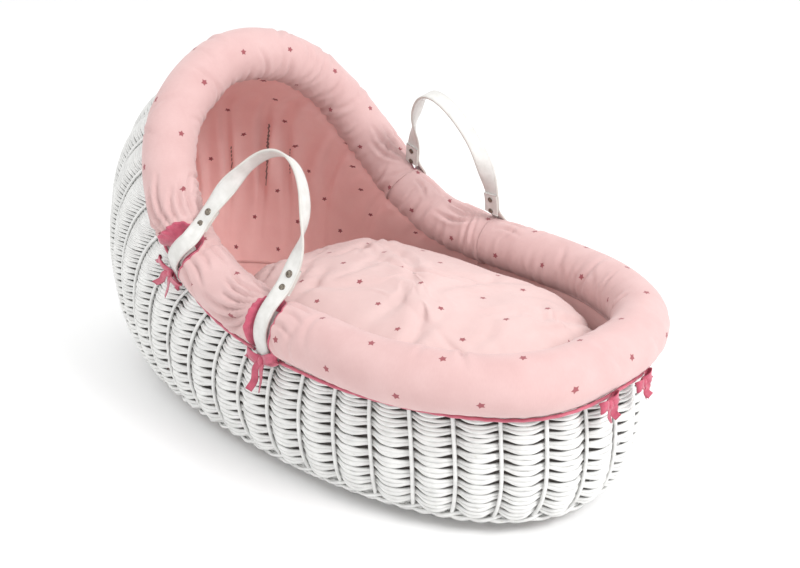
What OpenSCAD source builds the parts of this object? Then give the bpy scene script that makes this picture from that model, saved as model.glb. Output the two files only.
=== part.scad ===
// Hooded wicker cradle basket with a padded liner, a mattress, a coverlet and two leather handles.
// X runs from the hood to the foot, Y runs across and Z is up.
// The origin lies on the floor, under the middle of the basket.

/* [Bottom] */
// Half length of the woven bottom
bottom_half_len = 342; // [320:1:360]
// Half width of the woven bottom
bottom_half_w = 160; // [150:1:170]
// Middle of the bottom along X
bottom_mid_x = 8; // [0:1:16]
// Thickness of the flat ring that the basket stands on
foot_ring_h = 5.5; // [4:0.5:8]
// Height at which the woven wall starts
wall_start_z = 6; // [6:0.5:10]

/* [Rim] */
// Height of the rim along the sides and the foot
rim_z = 200; // [190:1:210]
// Distance of the rim's foot end from the origin
rim_foot_x = 388; // [380:1:395]
// Half width of the rim along the sides
rim_half_w = 187; // [180:1:192]
// Corner of the rim's foot curve across Y
rim_corner_y = 110; // [100:1:120]
// Start of the straight side along X
side_front_x = 260; // [250:1:270]
// Middle of the straight side along X
side_mid_x = 150; // [120:1:170]
// End of the straight side along X, where the hood starts to rise
side_back_x = -40; // [-50:1:-30]
// Lower bend of the hood's edge
arch_low = [-145, 178, 313]; // [-200:1:400]
// Shoulder of the hood's edge
arch_high = [-182, 114, 412]; // [-200:1:450]
// Crown of the hood's edge
arch_top = [-196, 0, 453]; // [-200:1:480]

/* [Wall] */
// How far the lower wall reaches at the foot
low_foot_x = 438; // [420:1:445]
// How far the lower wall reaches at the head
low_head_x = -452; // [-460:1:-440]
// Half width that the lower wall reaches for
low_half_w = 232; // [220:1:240]
// How far the upper wall reaches beyond the rim at the foot
high_foot_out = 24; // [15:1:30]
// How far the upper wall reaches at the head
high_head_x = -495; // [-500:1:-480]
// How far the upper wall reaches beyond the rim at the sides
high_side_out = 16; // [10:1:20]
// How far below the rim the wall turns in to it
high_drop = 45; // [35:1:55]
// Squareness of the ovals, 2 is a plain ellipse
oval_power = 2.3; // [2:0.05:2.6]
// Thickness of the woven wall
weave_t = 7; // [5:0.5:9]
// Thickness of an upright willow rod
rod_d = 6; // [4:0.5:7]
// Number of upright rods
rod_count = 40; // [30:2:60]
// Thickness of the rolled wicker rim
border_d = 18; // [14:1:20]

/* [Padding] */
// Half thickness of the padded bumper across the rim
pad_out = 33; // [30:1:36]
// Half height of the padded bumper along the wall
pad_up = 33; // [30:1:36]
// How far the bumper's middle sits below the rim
pad_drop = 3; // [0:0.5:6]
// Width of the slits that the handles pass through
slit_w = 40; // [36:1:46]
// Thickness of the lining
lining_t = 2.5; // [1.5:0.5:4]

/* [Bedding] */
// Thickness of the foam mattress
mattress_h = 50; // [35:1:60]
// How far the mattress reaches beyond the edge of the bottom
mattress_out = 4; // [-10:1:5]
// Head end of the coverlet
coverlet_head_x = -125; // [-130:1:-100]
// Foot end of the coverlet
coverlet_foot_x = 350; // [330:1:350]
// Half width of the coverlet
coverlet_half_w = 150; // [140:1:150]
// Squareness of the coverlet's outline
coverlet_power = 2.65; // [2:0.05:2.8]
// Height of the coverlet's crown above the floor
coverlet_top_z = 216; // [200:1:220]
// Height of the coverlet's fullest edge above the floor
coverlet_edge_z = 170; // [150:1:180]

/* [Handles] */
// Front pivot of a handle, on the crest of the bumper
pivot_front = [82, 187, 235]; // [-100:1:300]
// Rear pivot of a handle, on the crest of the bumper
pivot_rear = [-64, 187, 274]; // [-100:1:300]
// Height of a handle's arch above its pivots
arch_h = 133; // [120:1:140]
// Inward lean of the near handle at rest, in degrees
near_lean = 34; // [20:1:50]
// Inward lean of the far handle at rest, in degrees
far_lean = 14; // [5:1:30]
// How far the near handle's arch leans towards the hood
near_skew = 20; // [0:1:40]
// How far the far handle's arch leans towards the hood
far_skew = 36; // [0:1:40]
// Width of the leather strap
strap_w = 25; // [20:1:28]
// Thickness of the leather strap
strap_t = 3; // [2:0.5:4]
// Diameter of a rivet's head
rivet_d = 9; // [7:0.5:10]

/* [Hidden] */

wicker = [0.93, 0.93, 0.91];
pink = [0.92, 0.79, 0.78];
pale_pink = [0.94, 0.84, 0.83];
rose = [0.80, 0.42, 0.50];
leather = [0.92, 0.91, 0.88];
dark_metal = [0.25, 0.22, 0.20];
linen = [0.95, 0.93, 0.90];

steps_round = 72;
side_line_z = 190;
rear_turn = 0.3125;
front_turn = 0.2385;
foot_tie_turn = 0.02;
wall_to_rod = 1.5;
rod_depth = weave_t + wall_to_rod + rod_d / 2;
lining_depth = rod_depth + rod_d / 2 + 4;
border_q = -weave_t;
border_gap = border_d / 2 + 5;
loop_q = -2;
loop_half_out = 29;
loop_half_up = 23;
window_drop = loop_half_up + pad_drop;
nudge = 0.001;
base_z = wall_start_z + weave_t;
mattress_z = base_z + 0.3 + 2 + 0.3;
sheet_t = 1.5;

// ---------- general functions ----------

function unit(v) = v / norm(v);
function mix(a, b, f) = a + (b - a) * f;
function clamp01(x) = min(1, max(0, x));
function ease(x) = let (c = clamp01(x)) c * c * (3 - 2 * c);
function signed_power(a, e) = sign(a) * pow(abs(a), e);

// One point of a closed smooth curve through the pull of its control points, s counts points.
function smooth_loop(points, s) =
    let (
        n = len(points),
        i = floor(s),
        f = s - i,
        p = [for (k = [-1:2]) points[(i + k + 2 * n) % n]]
    )
    (pow(1 - f, 3) * p[0] + (3 * pow(f, 3) - 6 * f * f + 4) * p[1]
        + (-3 * pow(f, 3) + 3 * f * f + 3 * f + 1) * p[2] + pow(f, 3) * p[3]) / 6;

// Point on an oval, turn 0 is the foot, 0.25 the near side and 0.5 the head.
function oval(foot, head, half_w, turn, z, power = oval_power) = [
    (foot + head) / 2 + (foot - head) / 2 * signed_power(cos(360 * turn), 2 / power),
    -half_w * signed_power(sin(360 * turn), 2 / power),
    z
];

// ---------- the basket's surface ----------

half_rim = [
    [rim_foot_x, 0, rim_z], [rim_foot_x, rim_corner_y, rim_z], [side_front_x, rim_half_w, rim_z],
    [side_mid_x, rim_half_w, rim_z], [side_back_x, rim_half_w, rim_z], arch_low, arch_high, arch_top
];
rim_points = concat(
    [for (p = half_rim) [p.x, -p.y, p.z]],
    [for (i = [len(half_rim) - 2:-1:1]) half_rim[i]]
);

function rim(turn) = smooth_loop(rim_points, (turn - floor(turn)) * len(rim_points));
function bottom(turn, out, z) = oval(
    bottom_mid_x + bottom_half_len + out, bottom_mid_x - bottom_half_len - out,
    bottom_half_w + out, turn, z
);
function high(turn) = oval(
    rim_foot_x + high_foot_out, high_head_x, rim_half_w + high_side_out, turn, rim(turn).z - high_drop
);

// Outer face of the wall, up = 0 at the bottom and 1 at the rim.
function wall(turn, up) =
    let (
        a = bottom(turn, 0, wall_start_z),
        b = oval(low_foot_x, low_head_x, low_half_w, turn, wall_start_z),
        c = high(turn),
        d = rim(turn),
        g = 1 - up
    )
    g * g * g * a + 3 * g * g * up * b + 3 * g * up * up * c + up * up * up * d;
function wall_normal(turn, up) = unit(cross(
    wall(turn, up + nudge) - wall(turn, up - nudge),
    wall(turn + nudge, up) - wall(turn - nudge, up)
));
function inside(turn, up, depth) = wall(turn, up) - depth * wall_normal(turn, up);

// Fraction of the wall that lies a given distance below the rim.
function below_rim(turn, drop) = 1 - drop / (3 * norm(rim(turn) - high(turn)));
// Fraction of the wall at a given height, found by halving.
function at_height(turn, z, lo = 0, hi = 1, n = 18) =
    n == 0 ? (lo + hi) / 2
    : let (m = (lo + hi) / 2) wall(turn, m).z < z
        ? at_height(turn, z, m, hi, n - 1)
        : at_height(turn, z, lo, m, n - 1);

// Square frame at the rim: along the rim, outward, and up out of the wall.
function rim_along(turn) = unit(rim(turn + nudge) - rim(turn - nudge));
function rim_up(turn) =
    let (w = wall(turn, 1) - wall(turn, 0.94), t = rim_along(turn)) unit(w - (w * t) * t);
function rim_out(turn) = cross(rim_up(turn), rim_along(turn));
function at_rim(turn, out, up) = rim(turn) + out * rim_out(turn) + up * rim_up(turn);

// Turn that lies a given distance along the rim from another turn.
function along_rim(turn, distance) =
    turn + distance * 2 * nudge / norm(rim(turn + nudge) - rim(turn - nudge));

// ---------- general solids ----------

function signed_volume(points, faces, i = 0, sum = 0) =
    i == len(faces) ? sum
    : signed_volume(points, faces, i + 1,
        sum + cross(points[faces[i][0]], points[faces[i][1]]) * points[faces[i][2]]);

// Solid skin over a row of rings; point i and point m - 1 - i face each other across a ring.
module loft(rings, closed = false) {
    n = len(rings);
    m = len(rings[0]);
    points = [for (r = rings) each r];
    sides = [
        for (i = [0:closed ? n - 1 : n - 2], j = [0:m - 1])
            let (k = (i + 1) % n, l = (j + 1) % m)
            each [[i * m + j, i * m + l, k * m + l], [i * m + j, k * m + l, k * m + j]]
    ];
    caps = closed ? [] : [
        for (j = [0:m / 2 - 2]) each [
            [j + 1, j, m - 1 - j], [j + 1, m - 1 - j, m - 2 - j],
            [(n - 1) * m + j, (n - 1) * m + j + 1, n * m - 1 - j],
            [(n - 1) * m + j + 1, n * m - 2 - j, n * m - 1 - j]
        ]
    ];
    faces = concat(sides, caps);
    outward = signed_volume(points, faces) < 0;
    polyhedron(points, outward ? faces : [for (f = faces) [f[0], f[2], f[1]]], convexity = 8);
}

// Rings of a flat section carried along a path; wide[i] is the section's first direction.
function carry(path, wide, section, closed = false) = [
    for (i = [0:len(path) - 1])
        let (
            n = len(path),
            a = closed ? path[(i + n - 1) % n] : path[max(0, i - 1)],
            b = closed ? path[(i + 1) % n] : path[min(n - 1, i + 1)],
            t = unit(b - a),
            w = unit(wide[i] - (wide[i] * t) * t),
            h = cross(t, w)
        )
        [for (s = section) path[i] + s.x * w + s.y * h]
];
function round_section(r, sides) = [for (i = [0:sides - 1]) r * [cos(360 * i / sides), sin(360 * i / sides)]];
strap_section = [
    [-strap_w / 2, -strap_t / 2], [strap_w / 2, -strap_t / 2],
    [strap_w / 2, strap_t / 2], [-strap_w / 2, strap_t / 2]
];

// Curved slab between two depths of the wall; each span is [turn, lower up, upper up].
module wall_slab(spans, outer_depth, inner_depth, rows, closed = false) {
    loft([
        for (s = spans) concat(
            [for (i = [0:rows]) inside(s[0], mix(s[1], s[2], i / rows), outer_depth)],
            [for (i = [rows:-1:0]) inside(s[0], mix(s[1], s[2], i / rows), inner_depth)]
        )
    ], closed);
}
module oval_plate(out, z, h) {
    translate([0, 0, z]) linear_extrude(h) polygon([
        for (i = [0:steps_round - 1]) let (p = bottom(i / steps_round, out, 0)) [p.x, p.y]
    ]);
}
// Puts children in the rim's frame: X along, Y outward, Z up out of the wall.
module on_rim(turn, out, up) {
    o = at_rim(turn, out, up);
    a = -rim_along(turn);
    b = rim_out(turn);
    c = rim_up(turn);
    multmatrix([[a.x, b.x, c.x, o.x], [a.y, b.y, c.y, o.y], [a.z, b.z, c.z, o.z], [0, 0, 0, 1]])
        children();
}
function even_turns(from, to, n) = [for (i = [0:n]) mix(from, to, i / n)];
all_round = [for (i = [0:steps_round - 1]) i / steps_round];
slit_turns = [front_turn, rear_turn, 1 - rear_turn, 1 - front_turn];

// ---------- wicker ----------

waling_top = 0.2;
seam = 0.004;
hood_start = 0.285;
rod_start = 0.08;
function side_top(turn) = min(below_rim(turn, border_gap), at_height(turn, side_line_z));

module base_ring() color(wicker) difference() {
    oval_plate(8, 0, foot_ring_h);
    oval_plate(-12, -1, foot_ring_h + 2);
}
module base_weave() color(wicker) oval_plate(-0.5, wall_start_z, weave_t);
module waling_band() color(wicker)
    wall_slab([for (t = all_round) [t, 0, waling_top]], 0, weave_t, 3, true);

// Openings in the weave that the leather loops pass through.
module strap_windows() {
    for (t = slit_turns) on_rim(t, -rod_depth / 2, -window_drop)
        cube([strap_w + 7, rod_depth * 3, 9], center = true);
}
module side_weave() color(wicker) difference() {
    wall_slab([for (t = all_round) [t, waling_top + seam, side_top(t)]], 0, weave_t, 5, true);
    strap_windows();
}
module hood_weave() color(wicker) difference() {
    wall_slab([
        for (t = even_turns(hood_start, 1 - hood_start, 30))
            [t, side_top(t) + seam, below_rim(t, border_gap)]
    ], 0, weave_t, 8);
    strap_windows();
}
module uprights() color(wicker) {
    for (i = [0:rod_count - 1]) {
        t = (i + 0.5) / rod_count;
        clear = min([for (s = slit_turns) norm(rim(t) - rim(s))]) > strap_w / 2 + rod_d;
        if (clear) {
            top = below_rim(t, border_gap + 1);
            ups = [for (k = [0:7]) mix(rod_start, top, k / 7)];
            path = [for (u = ups) inside(t, u, rod_depth)];
            loft(carry(path, [for (u = ups) wall_normal(t, u)], round_section(rod_d / 2, 6)));
        }
    }
}
module rim_border() color(wicker) {
    path = [for (t = all_round) at_rim(t, border_q, 0)];
    loft(carry(path, [for (t = all_round) rim_out(t)], round_section(border_d / 2, 8), true), true);
}

// ---------- padded liner ----------

// Section of the bumper: a thick pad folded over the rim, open below for the wall.
pad_section = concat(
    [for (i = [0:13]) let (a = mix(-76, 240, i / 13)) [pad_out * cos(a), pad_up * sin(a) - pad_drop]],
    [
        [-21, -31], [-19, -22], [-18, -12],
        for (i = [0:7]) let (a = mix(205, -25, i / 7)) [border_q + 11.5 * cos(a), 11.5 * sin(a)],
        [3.5, -12], [4.5, -22], [6, -33]
    ]
);
function pad_ring(turn, section) = [for (p = section) at_rim(turn, p.x, p.y)];
module bumper(from, to, n) color(pink)
    loft([for (t = even_turns(from, to, n)) pad_ring(t, pad_section)]);

function slit_edge(turn, side) = along_rim(turn, side * slit_w / 2);
// The hood's bumper ends a little farther from the strap, because the rim rises there.
hood_edge = along_rim(rear_turn, slit_w / 2 + 9);
module hood_bumper() bumper(hood_edge, 1 - hood_edge, 30);
module foot_bumper() bumper(-slit_edge(front_turn, -1), slit_edge(front_turn, -1), 34);
module near_bumper() bumper(slit_edge(front_turn, 1), slit_edge(rear_turn, -1), 6);
module far_bumper() mirror([0, 1, 0]) near_bumper();

module liner_floor() color(pink) oval_plate(-4, base_z + 0.3, 2);
lining_bottom = 0.12;
lining_drop = 39;
function lining_side_top(turn) = min(below_rim(turn, lining_drop), at_height(turn, side_line_z - 20));
module side_lining() color(pink)
    wall_slab([for (t = all_round) [t, lining_bottom, lining_side_top(t)]],
        lining_depth, lining_depth + lining_t, 4, true);
module hood_lining() color(pink)
    wall_slab([
        for (t = even_turns(hood_start + 0.015, 0.985 - hood_start, 32))
            [t, lining_side_top(t) + seam, below_rim(t, lining_drop)]
    ], lining_depth, lining_depth + lining_t, 8);

module hem_piping() color(rose) {
    stretches = [
        [hood_edge, 1 - hood_edge, 30],
        [-slit_edge(front_turn, -1), slit_edge(front_turn, -1), 34],
        [slit_edge(front_turn, 1), slit_edge(rear_turn, -1), 6],
        [1 - slit_edge(rear_turn, -1), 1 - slit_edge(front_turn, 1), 6]
    ];
    for (s = stretches) {
        turns = even_turns(s[0], s[1], s[2]);
        path = [for (t = turns) at_rim(t, 8.5, -39)];
        loft(carry(path, [for (t = turns) rim_out(t)], round_section(2.2, 6)));
    }
}
// Flat band of binding just inside a slit's edge, on the outer side of the bumper.
binding_t = 2;
binding_angles = [for (i = [0:12]) mix(-70, 38, i / 12)];
binding_arc = concat(
    [for (a = binding_angles) (pad_out - 1) * [cos(a), sin(a)]],
    [for (i = [12:-1:0]) (pad_out - 6) * [cos(binding_angles[i]), sin(binding_angles[i])]]
);
module slit_bindings() color(rose) {
    for (t = slit_turns, side = [-1, 1]) on_rim(slit_edge(t, side), 0, -pad_drop)
        translate([side > 0 ? 0.2 : -0.2 - binding_t, 0, 0])
            rotate([90, 0, 90]) linear_extrude(binding_t) polygon(binding_arc);
}

// A ribbon tied in a bow that lies flat on the weave.
module bow(turn) color(rose) on_rim(turn, 14, -43) {
    cube([10, 6, 8], center = true);
    for (side = [-1, 1]) {
        translate([side * 5.5, 0, 0]) rotate([0, side * 20, 0])
            translate([side * 9, 0, 0]) cube([16, 4, 9], center = true);
        translate([side * 3, 0, -4.5]) rotate([0, side * -14, 0])
            translate([0, 0, -14]) cube([6, 1.5, 26], center = true);
    }
}
module rear_ties() for (t = [rear_turn, 1 - rear_turn]) bow(t);
module front_ties() for (t = [front_turn, 1 - front_turn]) bow(t);
module foot_ties() for (t = [foot_tie_turn, 1 - foot_tie_turn]) bow(t);

// ---------- leather handles ----------

// Closed leather loop round the rim, in the slit.
module strap_loop(turn) {
    angles = [for (i = [0:19]) 360 * i / 20];
    path = [
        for (a = angles)
            at_rim(turn, loop_q + loop_half_out * cos(a), loop_half_up * sin(a) - pad_drop)
    ];
    loft(carry(path, [for (a = angles) rim_along(turn)], strap_section, true), true);
}
module near_strap_loops() color(leather) for (t = [front_turn, rear_turn]) strap_loop(t);
module far_strap_loops() color(leather) for (t = [front_turn, rear_turn]) strap_loop(1 - t);

// Frame of a handle: side is -1 for the near one and 1 for the far one.
function pivot(p, side) = [p.x, side * p.y, p.z];
function hinge_dir(side) = unit(pivot(pivot_front, side) - pivot(pivot_rear, side));
function rise_dir(side, lean) =
    let (e = hinge_dir(side), up = unit([0, 0, 1] - e.z * e)) cos(lean) * up + sin(lean) * [0, -side, 0];
function strap_point(side, lean, angle) =
    let (
        a = pivot(pivot_rear, side),
        b = pivot(pivot_front, side),
        skew = (side < 0 ? near_skew : far_skew) * pow(sin(angle), 2),
        along = norm(b - a) / 2 * cos(angle) + skew
    )
    (a + b) / 2 - along * hinge_dir(side) + arch_h * sin(angle) * rise_dir(side, lean);
// The strap lies across the rim at its ends and turns flat to the hand at its crown.
function strap_wide(side, lean, angle) =
    let (
        twist = 90 * ease((arch_h * sin(angle) - 30) / 70) * sign(90 - angle + 0.01),
        face = cross(hinge_dir(side), rise_dir(side, lean)),
        along = unit(strap_point(side, lean, angle + 0.5) - strap_point(side, lean, angle - 0.5)),
        flat = cross(face, along)
    )
    cos(twist) * flat + sin(twist) * face;
strap_start = 2;
module handle_strap(side, lean) color(leather) {
    angles = [for (i = [0:36]) mix(strap_start, 180 - strap_start, i / 36)];
    loft(carry(
        [for (a = angles) strap_point(side, lean, a)],
        [for (a = angles) strap_wide(side, lean, a == 90 ? 89.9 : a)],
        strap_section
    ));
}

// Doubled end of the strap, riveted to its inner face.
tab_end = 14;
tab_gap = 0.2;
function inner_face(side, lean) = side * cross(hinge_dir(side), rise_dir(side, lean));
module handle_tabs(side, lean) color(leather) {
    for (end = [0, 180]) {
        angles = [for (i = [0:4]) abs(end - mix(strap_start, tab_end, i / 4))];
        inward = (strap_t + tab_gap) * inner_face(side, lean);
        loft(carry(
            [for (a = angles) strap_point(side, lean, a) + inward],
            [for (a = angles) strap_wide(side, lean, a)],
            strap_section
        ));
    }
}
rivet_angles = [4.2, 11.6];
rivet_head_h = 1.6;
module rivet() {
    grip = 2 * strap_t + tab_gap;
    translate([0, 0, strap_t / 2]) cylinder(d = rivet_d, h = rivet_head_h, $fn = 32);
    translate([0, 0, strap_t / 2 - grip]) cylinder(d = rivet_d * 0.4, h = grip, $fn = 32);
    translate([0, 0, strap_t / 2 - grip - 1.2]) cylinder(d = rivet_d * 0.8, h = 1.2, $fn = 32);
}
module handle_rivets(side, lean) color(dark_metal) {
    for (end = [0, 180], a = rivet_angles) {
        o = strap_point(side, lean, abs(end - a));
        x = hinge_dir(side);
        z = -inner_face(side, lean);
        y = cross(z, x);
        multmatrix([[x.x, y.x, z.x, o.x], [x.y, y.y, z.y, o.y], [x.z, y.z, z.z, o.z], [0, 0, 0, 1]])
            rivet();
    }
}
module near_handle_strap() handle_strap(-1, near_lean);
module near_handle_tabs() handle_tabs(-1, near_lean);
module near_handle_rivets() handle_rivets(-1, near_lean);
module far_handle_strap() handle_strap(1, far_lean);
module far_handle_tabs() handle_tabs(1, far_lean);
module far_handle_rivets() handle_rivets(1, far_lean);

// ---------- bedding ----------

module mattress_foam() color(linen)
    oval_plate(mattress_out - sheet_t - 0.3, mattress_z, mattress_h - sheet_t - 0.3);
module mattress_sheet() color(linen) difference() {
    oval_plate(mattress_out, mattress_z, mattress_h);
    oval_plate(mattress_out - sheet_t, mattress_z - 1, mattress_h - sheet_t + 1);
}

// Plump coverlet: ovals stacked from the mattress to the crown, each [height, share of the full size].
coverlet_z = mattress_z + mattress_h + 0.5;
crown_h = coverlet_top_z - coverlet_edge_z;
coverlet_levels = concat(
    [[coverlet_z, 0.93], [coverlet_z + 15, 0.98], [mix(coverlet_z, coverlet_edge_z, 0.5), 1]],
    [for (a = [0:18:90]) [coverlet_edge_z + crown_h * sin(a), max(0.12, pow(cos(a), 0.7))]]
);
module coverlet() color(pale_pink) {
    mid_x = (coverlet_foot_x + coverlet_head_x) / 2;
    half_len = (coverlet_foot_x - coverlet_head_x) / 2;
    loft([
        for (l = coverlet_levels) [
            for (i = [0:47]) oval(
                mid_x + half_len * l[1], mid_x - half_len * l[1], coverlet_half_w * l[1],
                i / 48, l[0], coverlet_power
            )
        ]
    ]);
}

base_ring();
base_weave();
waling_band();
side_weave();
hood_weave();
uprights();
rim_border();
liner_floor();
side_lining();
hood_lining();
hood_bumper();
foot_bumper();
near_bumper();
far_bumper();
hem_piping();
slit_bindings();
rear_ties();
front_ties();
foot_ties();
near_strap_loops();
far_strap_loops();
near_handle_strap();
near_handle_tabs();
near_handle_rivets();
far_handle_strap();
far_handle_tabs();
far_handle_rivets();
mattress_foam();
mattress_sheet();
coverlet();
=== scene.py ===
import math

import bmesh
import bpy
import numpy as np
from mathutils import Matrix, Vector


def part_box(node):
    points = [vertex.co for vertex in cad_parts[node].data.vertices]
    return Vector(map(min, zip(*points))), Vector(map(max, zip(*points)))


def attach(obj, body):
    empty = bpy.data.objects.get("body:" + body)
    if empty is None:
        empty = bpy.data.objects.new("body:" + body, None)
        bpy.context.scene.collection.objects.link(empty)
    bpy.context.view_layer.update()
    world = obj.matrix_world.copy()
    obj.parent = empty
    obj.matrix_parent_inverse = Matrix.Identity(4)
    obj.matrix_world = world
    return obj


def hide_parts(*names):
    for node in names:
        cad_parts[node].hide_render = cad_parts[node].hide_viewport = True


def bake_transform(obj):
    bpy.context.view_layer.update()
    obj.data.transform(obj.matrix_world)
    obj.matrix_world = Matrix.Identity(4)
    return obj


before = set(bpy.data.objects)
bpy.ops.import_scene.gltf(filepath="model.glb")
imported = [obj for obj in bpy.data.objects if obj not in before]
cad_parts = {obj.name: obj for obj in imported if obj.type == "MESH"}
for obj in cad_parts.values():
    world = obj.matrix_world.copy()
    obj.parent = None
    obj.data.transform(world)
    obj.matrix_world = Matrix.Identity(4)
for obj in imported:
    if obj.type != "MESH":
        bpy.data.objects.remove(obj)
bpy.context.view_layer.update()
MM = 0.001
TAU = 2 * math.pi

# ---------- the camera ----------

CAMERA_TURN, CAMERA_RISE = math.radians(43.8), math.radians(22.9)
CAMERA_DISTANCE = 1.326
CAMERA_TARGET = Vector((0.0894, 0.0, 0.194))
back = Vector((
    math.sin(CAMERA_TURN) * math.cos(CAMERA_RISE),
    -math.cos(CAMERA_TURN) * math.cos(CAMERA_RISE),
    math.sin(CAMERA_RISE),
))
camera = bpy.data.objects.new("camera", bpy.data.cameras.new("camera"))
bpy.context.scene.collection.objects.link(camera)
camera.location = CAMERA_TARGET + back * CAMERA_DISTANCE
camera.rotation_euler = (-back).to_track_quat("-Z", "Y").to_euler()
camera.data.sensor_width = 36.0
camera.data.lens = 48.42
camera.data.clip_start, camera.data.clip_end = 0.05, 50.0
bpy.context.scene.camera = camera

# ---------- the basket's surface, the same as in the CAD ----------

HALF_RIM = [[388, 0, 200], [388, 110, 200], [260, 187, 200], [150, 187, 200], [-40, 187, 200],
            [-145, 178, 313], [-182, 114, 412], [-196, 0, 453]]
RIM_POINTS = np.array([[x, -y, z] for x, y, z in HALF_RIM] + HALF_RIM[-2:0:-1]) * MM
BOTTOM_FOOT, BOTTOM_HEAD, BOTTOM_HALF_W, BOTTOM_Z = 0.350, -0.334, 0.160, 0.006
SIDE_LINE_Z = 0.190
FRONT_TURN, REAR_TURN, FOOT_TIE_TURN = 0.2385, 0.3125, 0.02
SLIT_W = 0.040
PAD_R, PAD_DROP = 0.033, 0.003
BORDER_Q, BORDER_GAP = -0.007, 0.014
HOOD_START = 0.285
NUDGE = 0.001


def signed_power(a, e):
    return np.sign(a) * np.abs(a) ** e


def points(x, y, z):
    return np.stack(np.broadcast_arrays(x, y, z), axis=-1).astype(float)


def unit(v):
    return v / np.linalg.norm(v, axis=-1, keepdims=True)


def dot(a, b):
    return (a * b).sum(-1, keepdims=True)


def ease(x):
    c = np.clip(x, 0, 1)
    return c * c * (3 - 2 * c)


def lengths(path):
    """Distances along a line of points, from 0 at its first point."""
    return np.concatenate([[0], np.cumsum(np.linalg.norm(np.diff(path, axis=0), axis=1))])


def oval(foot, head, half_w, turn, z, power=2.3):
    """A rounded oval. Turn 0 is the foot, 0.25 the near side and 0.5 the head."""
    a = TAU * np.asarray(turn, float)
    return points(
        (foot + head) / 2 + (foot - head) / 2 * signed_power(np.cos(a), 2 / power),
        -half_w * signed_power(np.sin(a), 2 / power), z,
    )


def rim(turn):
    n = len(RIM_POINTS)
    s = np.mod(np.asarray(turn, float), 1.0) * n
    i = np.floor(s).astype(int)
    f = (s - i)[..., None]
    p = [RIM_POINTS[(i + k) % n] for k in (-1, 0, 1, 2)]
    return ((1 - f) ** 3 * p[0] + (3 * f ** 3 - 6 * f * f + 4) * p[1]
            + (-3 * f ** 3 + 3 * f * f + 3 * f + 1) * p[2] + f ** 3 * p[3]) / 6


def bottom(turn, out=0.0, z=BOTTOM_Z):
    return oval(BOTTOM_FOOT + out, BOTTOM_HEAD - out, BOTTOM_HALF_W + out, turn, z)


def high(turn):
    """The last control point of the wall's curve before the rim."""
    return oval(0.412, -0.495, 0.203, turn, rim(turn)[..., 2] - 0.045)


def wall(turn, up):
    """A point on the wall's outer face, up = 0 at the bottom and 1 at the rim."""
    turn, up = np.broadcast_arrays(np.asarray(turn, float), np.asarray(up, float))
    u = up[..., None]
    g = 1 - u
    return (g ** 3 * bottom(turn) + 3 * g * g * u * oval(0.438, -0.452, 0.232, turn, BOTTOM_Z)
            + 3 * g * u * u * high(turn) + u ** 3 * rim(turn))


def wall_normal(turn, up):
    return unit(np.cross(wall(turn, up + NUDGE) - wall(turn, up - NUDGE),
                         wall(turn + NUDGE, up) - wall(turn - NUDGE, up)))


def inside(turn, up, depth):
    return wall(turn, up) - np.asarray(depth)[..., None] * wall_normal(turn, up)


def below_rim(turn, drop):
    return 1 - drop / (3 * np.linalg.norm(rim(turn) - high(turn), axis=-1))


def at_height(turn, z):
    turn = np.asarray(turn, float)
    lo, hi = np.zeros_like(turn), np.ones_like(turn)
    for _ in range(24):
        m = (lo + hi) / 2
        under = wall(turn, m)[..., 2] < z
        lo, hi = np.where(under, m, lo), np.where(under, hi, m)
    return (lo + hi) / 2


def rim_frame(turn):
    """Directions along the rim, outward, and up out of the wall."""
    turn = np.asarray(turn, float)
    along = unit(rim(turn + NUDGE) - rim(turn - NUDGE))
    w = wall(turn, 1.0) - wall(turn, 0.94)
    up = unit(w - dot(w, along) * along)
    return along, np.cross(up, along), up


def at_rim(turn, out, up):
    _, o, u = rim_frame(turn)
    return rim(turn) + np.asarray(out)[..., None] * o + np.asarray(up)[..., None] * u


TABLE_TURNS = np.linspace(-1, 2, 6001)
RIM_LENGTHS = lengths(rim(TABLE_TURNS))
RIM_LENGTHS -= np.interp(0, TABLE_TURNS, RIM_LENGTHS)


def rim_length(turn):
    return np.interp(turn, TABLE_TURNS, RIM_LENGTHS)


def rim_turn(length):
    return np.interp(length, RIM_LENGTHS, TABLE_TURNS)


# ---------- meshes ----------

WELD_DISTANCE = 1e-6


def grid_faces(n, m, close_n=False, close_m=False, first=0):
    """Quads of an n by m grid of points."""
    i = np.arange(n if close_n else n - 1)[:, None]
    j = np.arange(m if close_m else m - 1)[None, :]
    k, l = (i + 1) % n, (j + 1) % m
    f = np.stack(np.broadcast_arrays(i * m + j, k * m + j, k * m + l, i * m + l), -1)
    return f.reshape(-1, 4) + first


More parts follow.
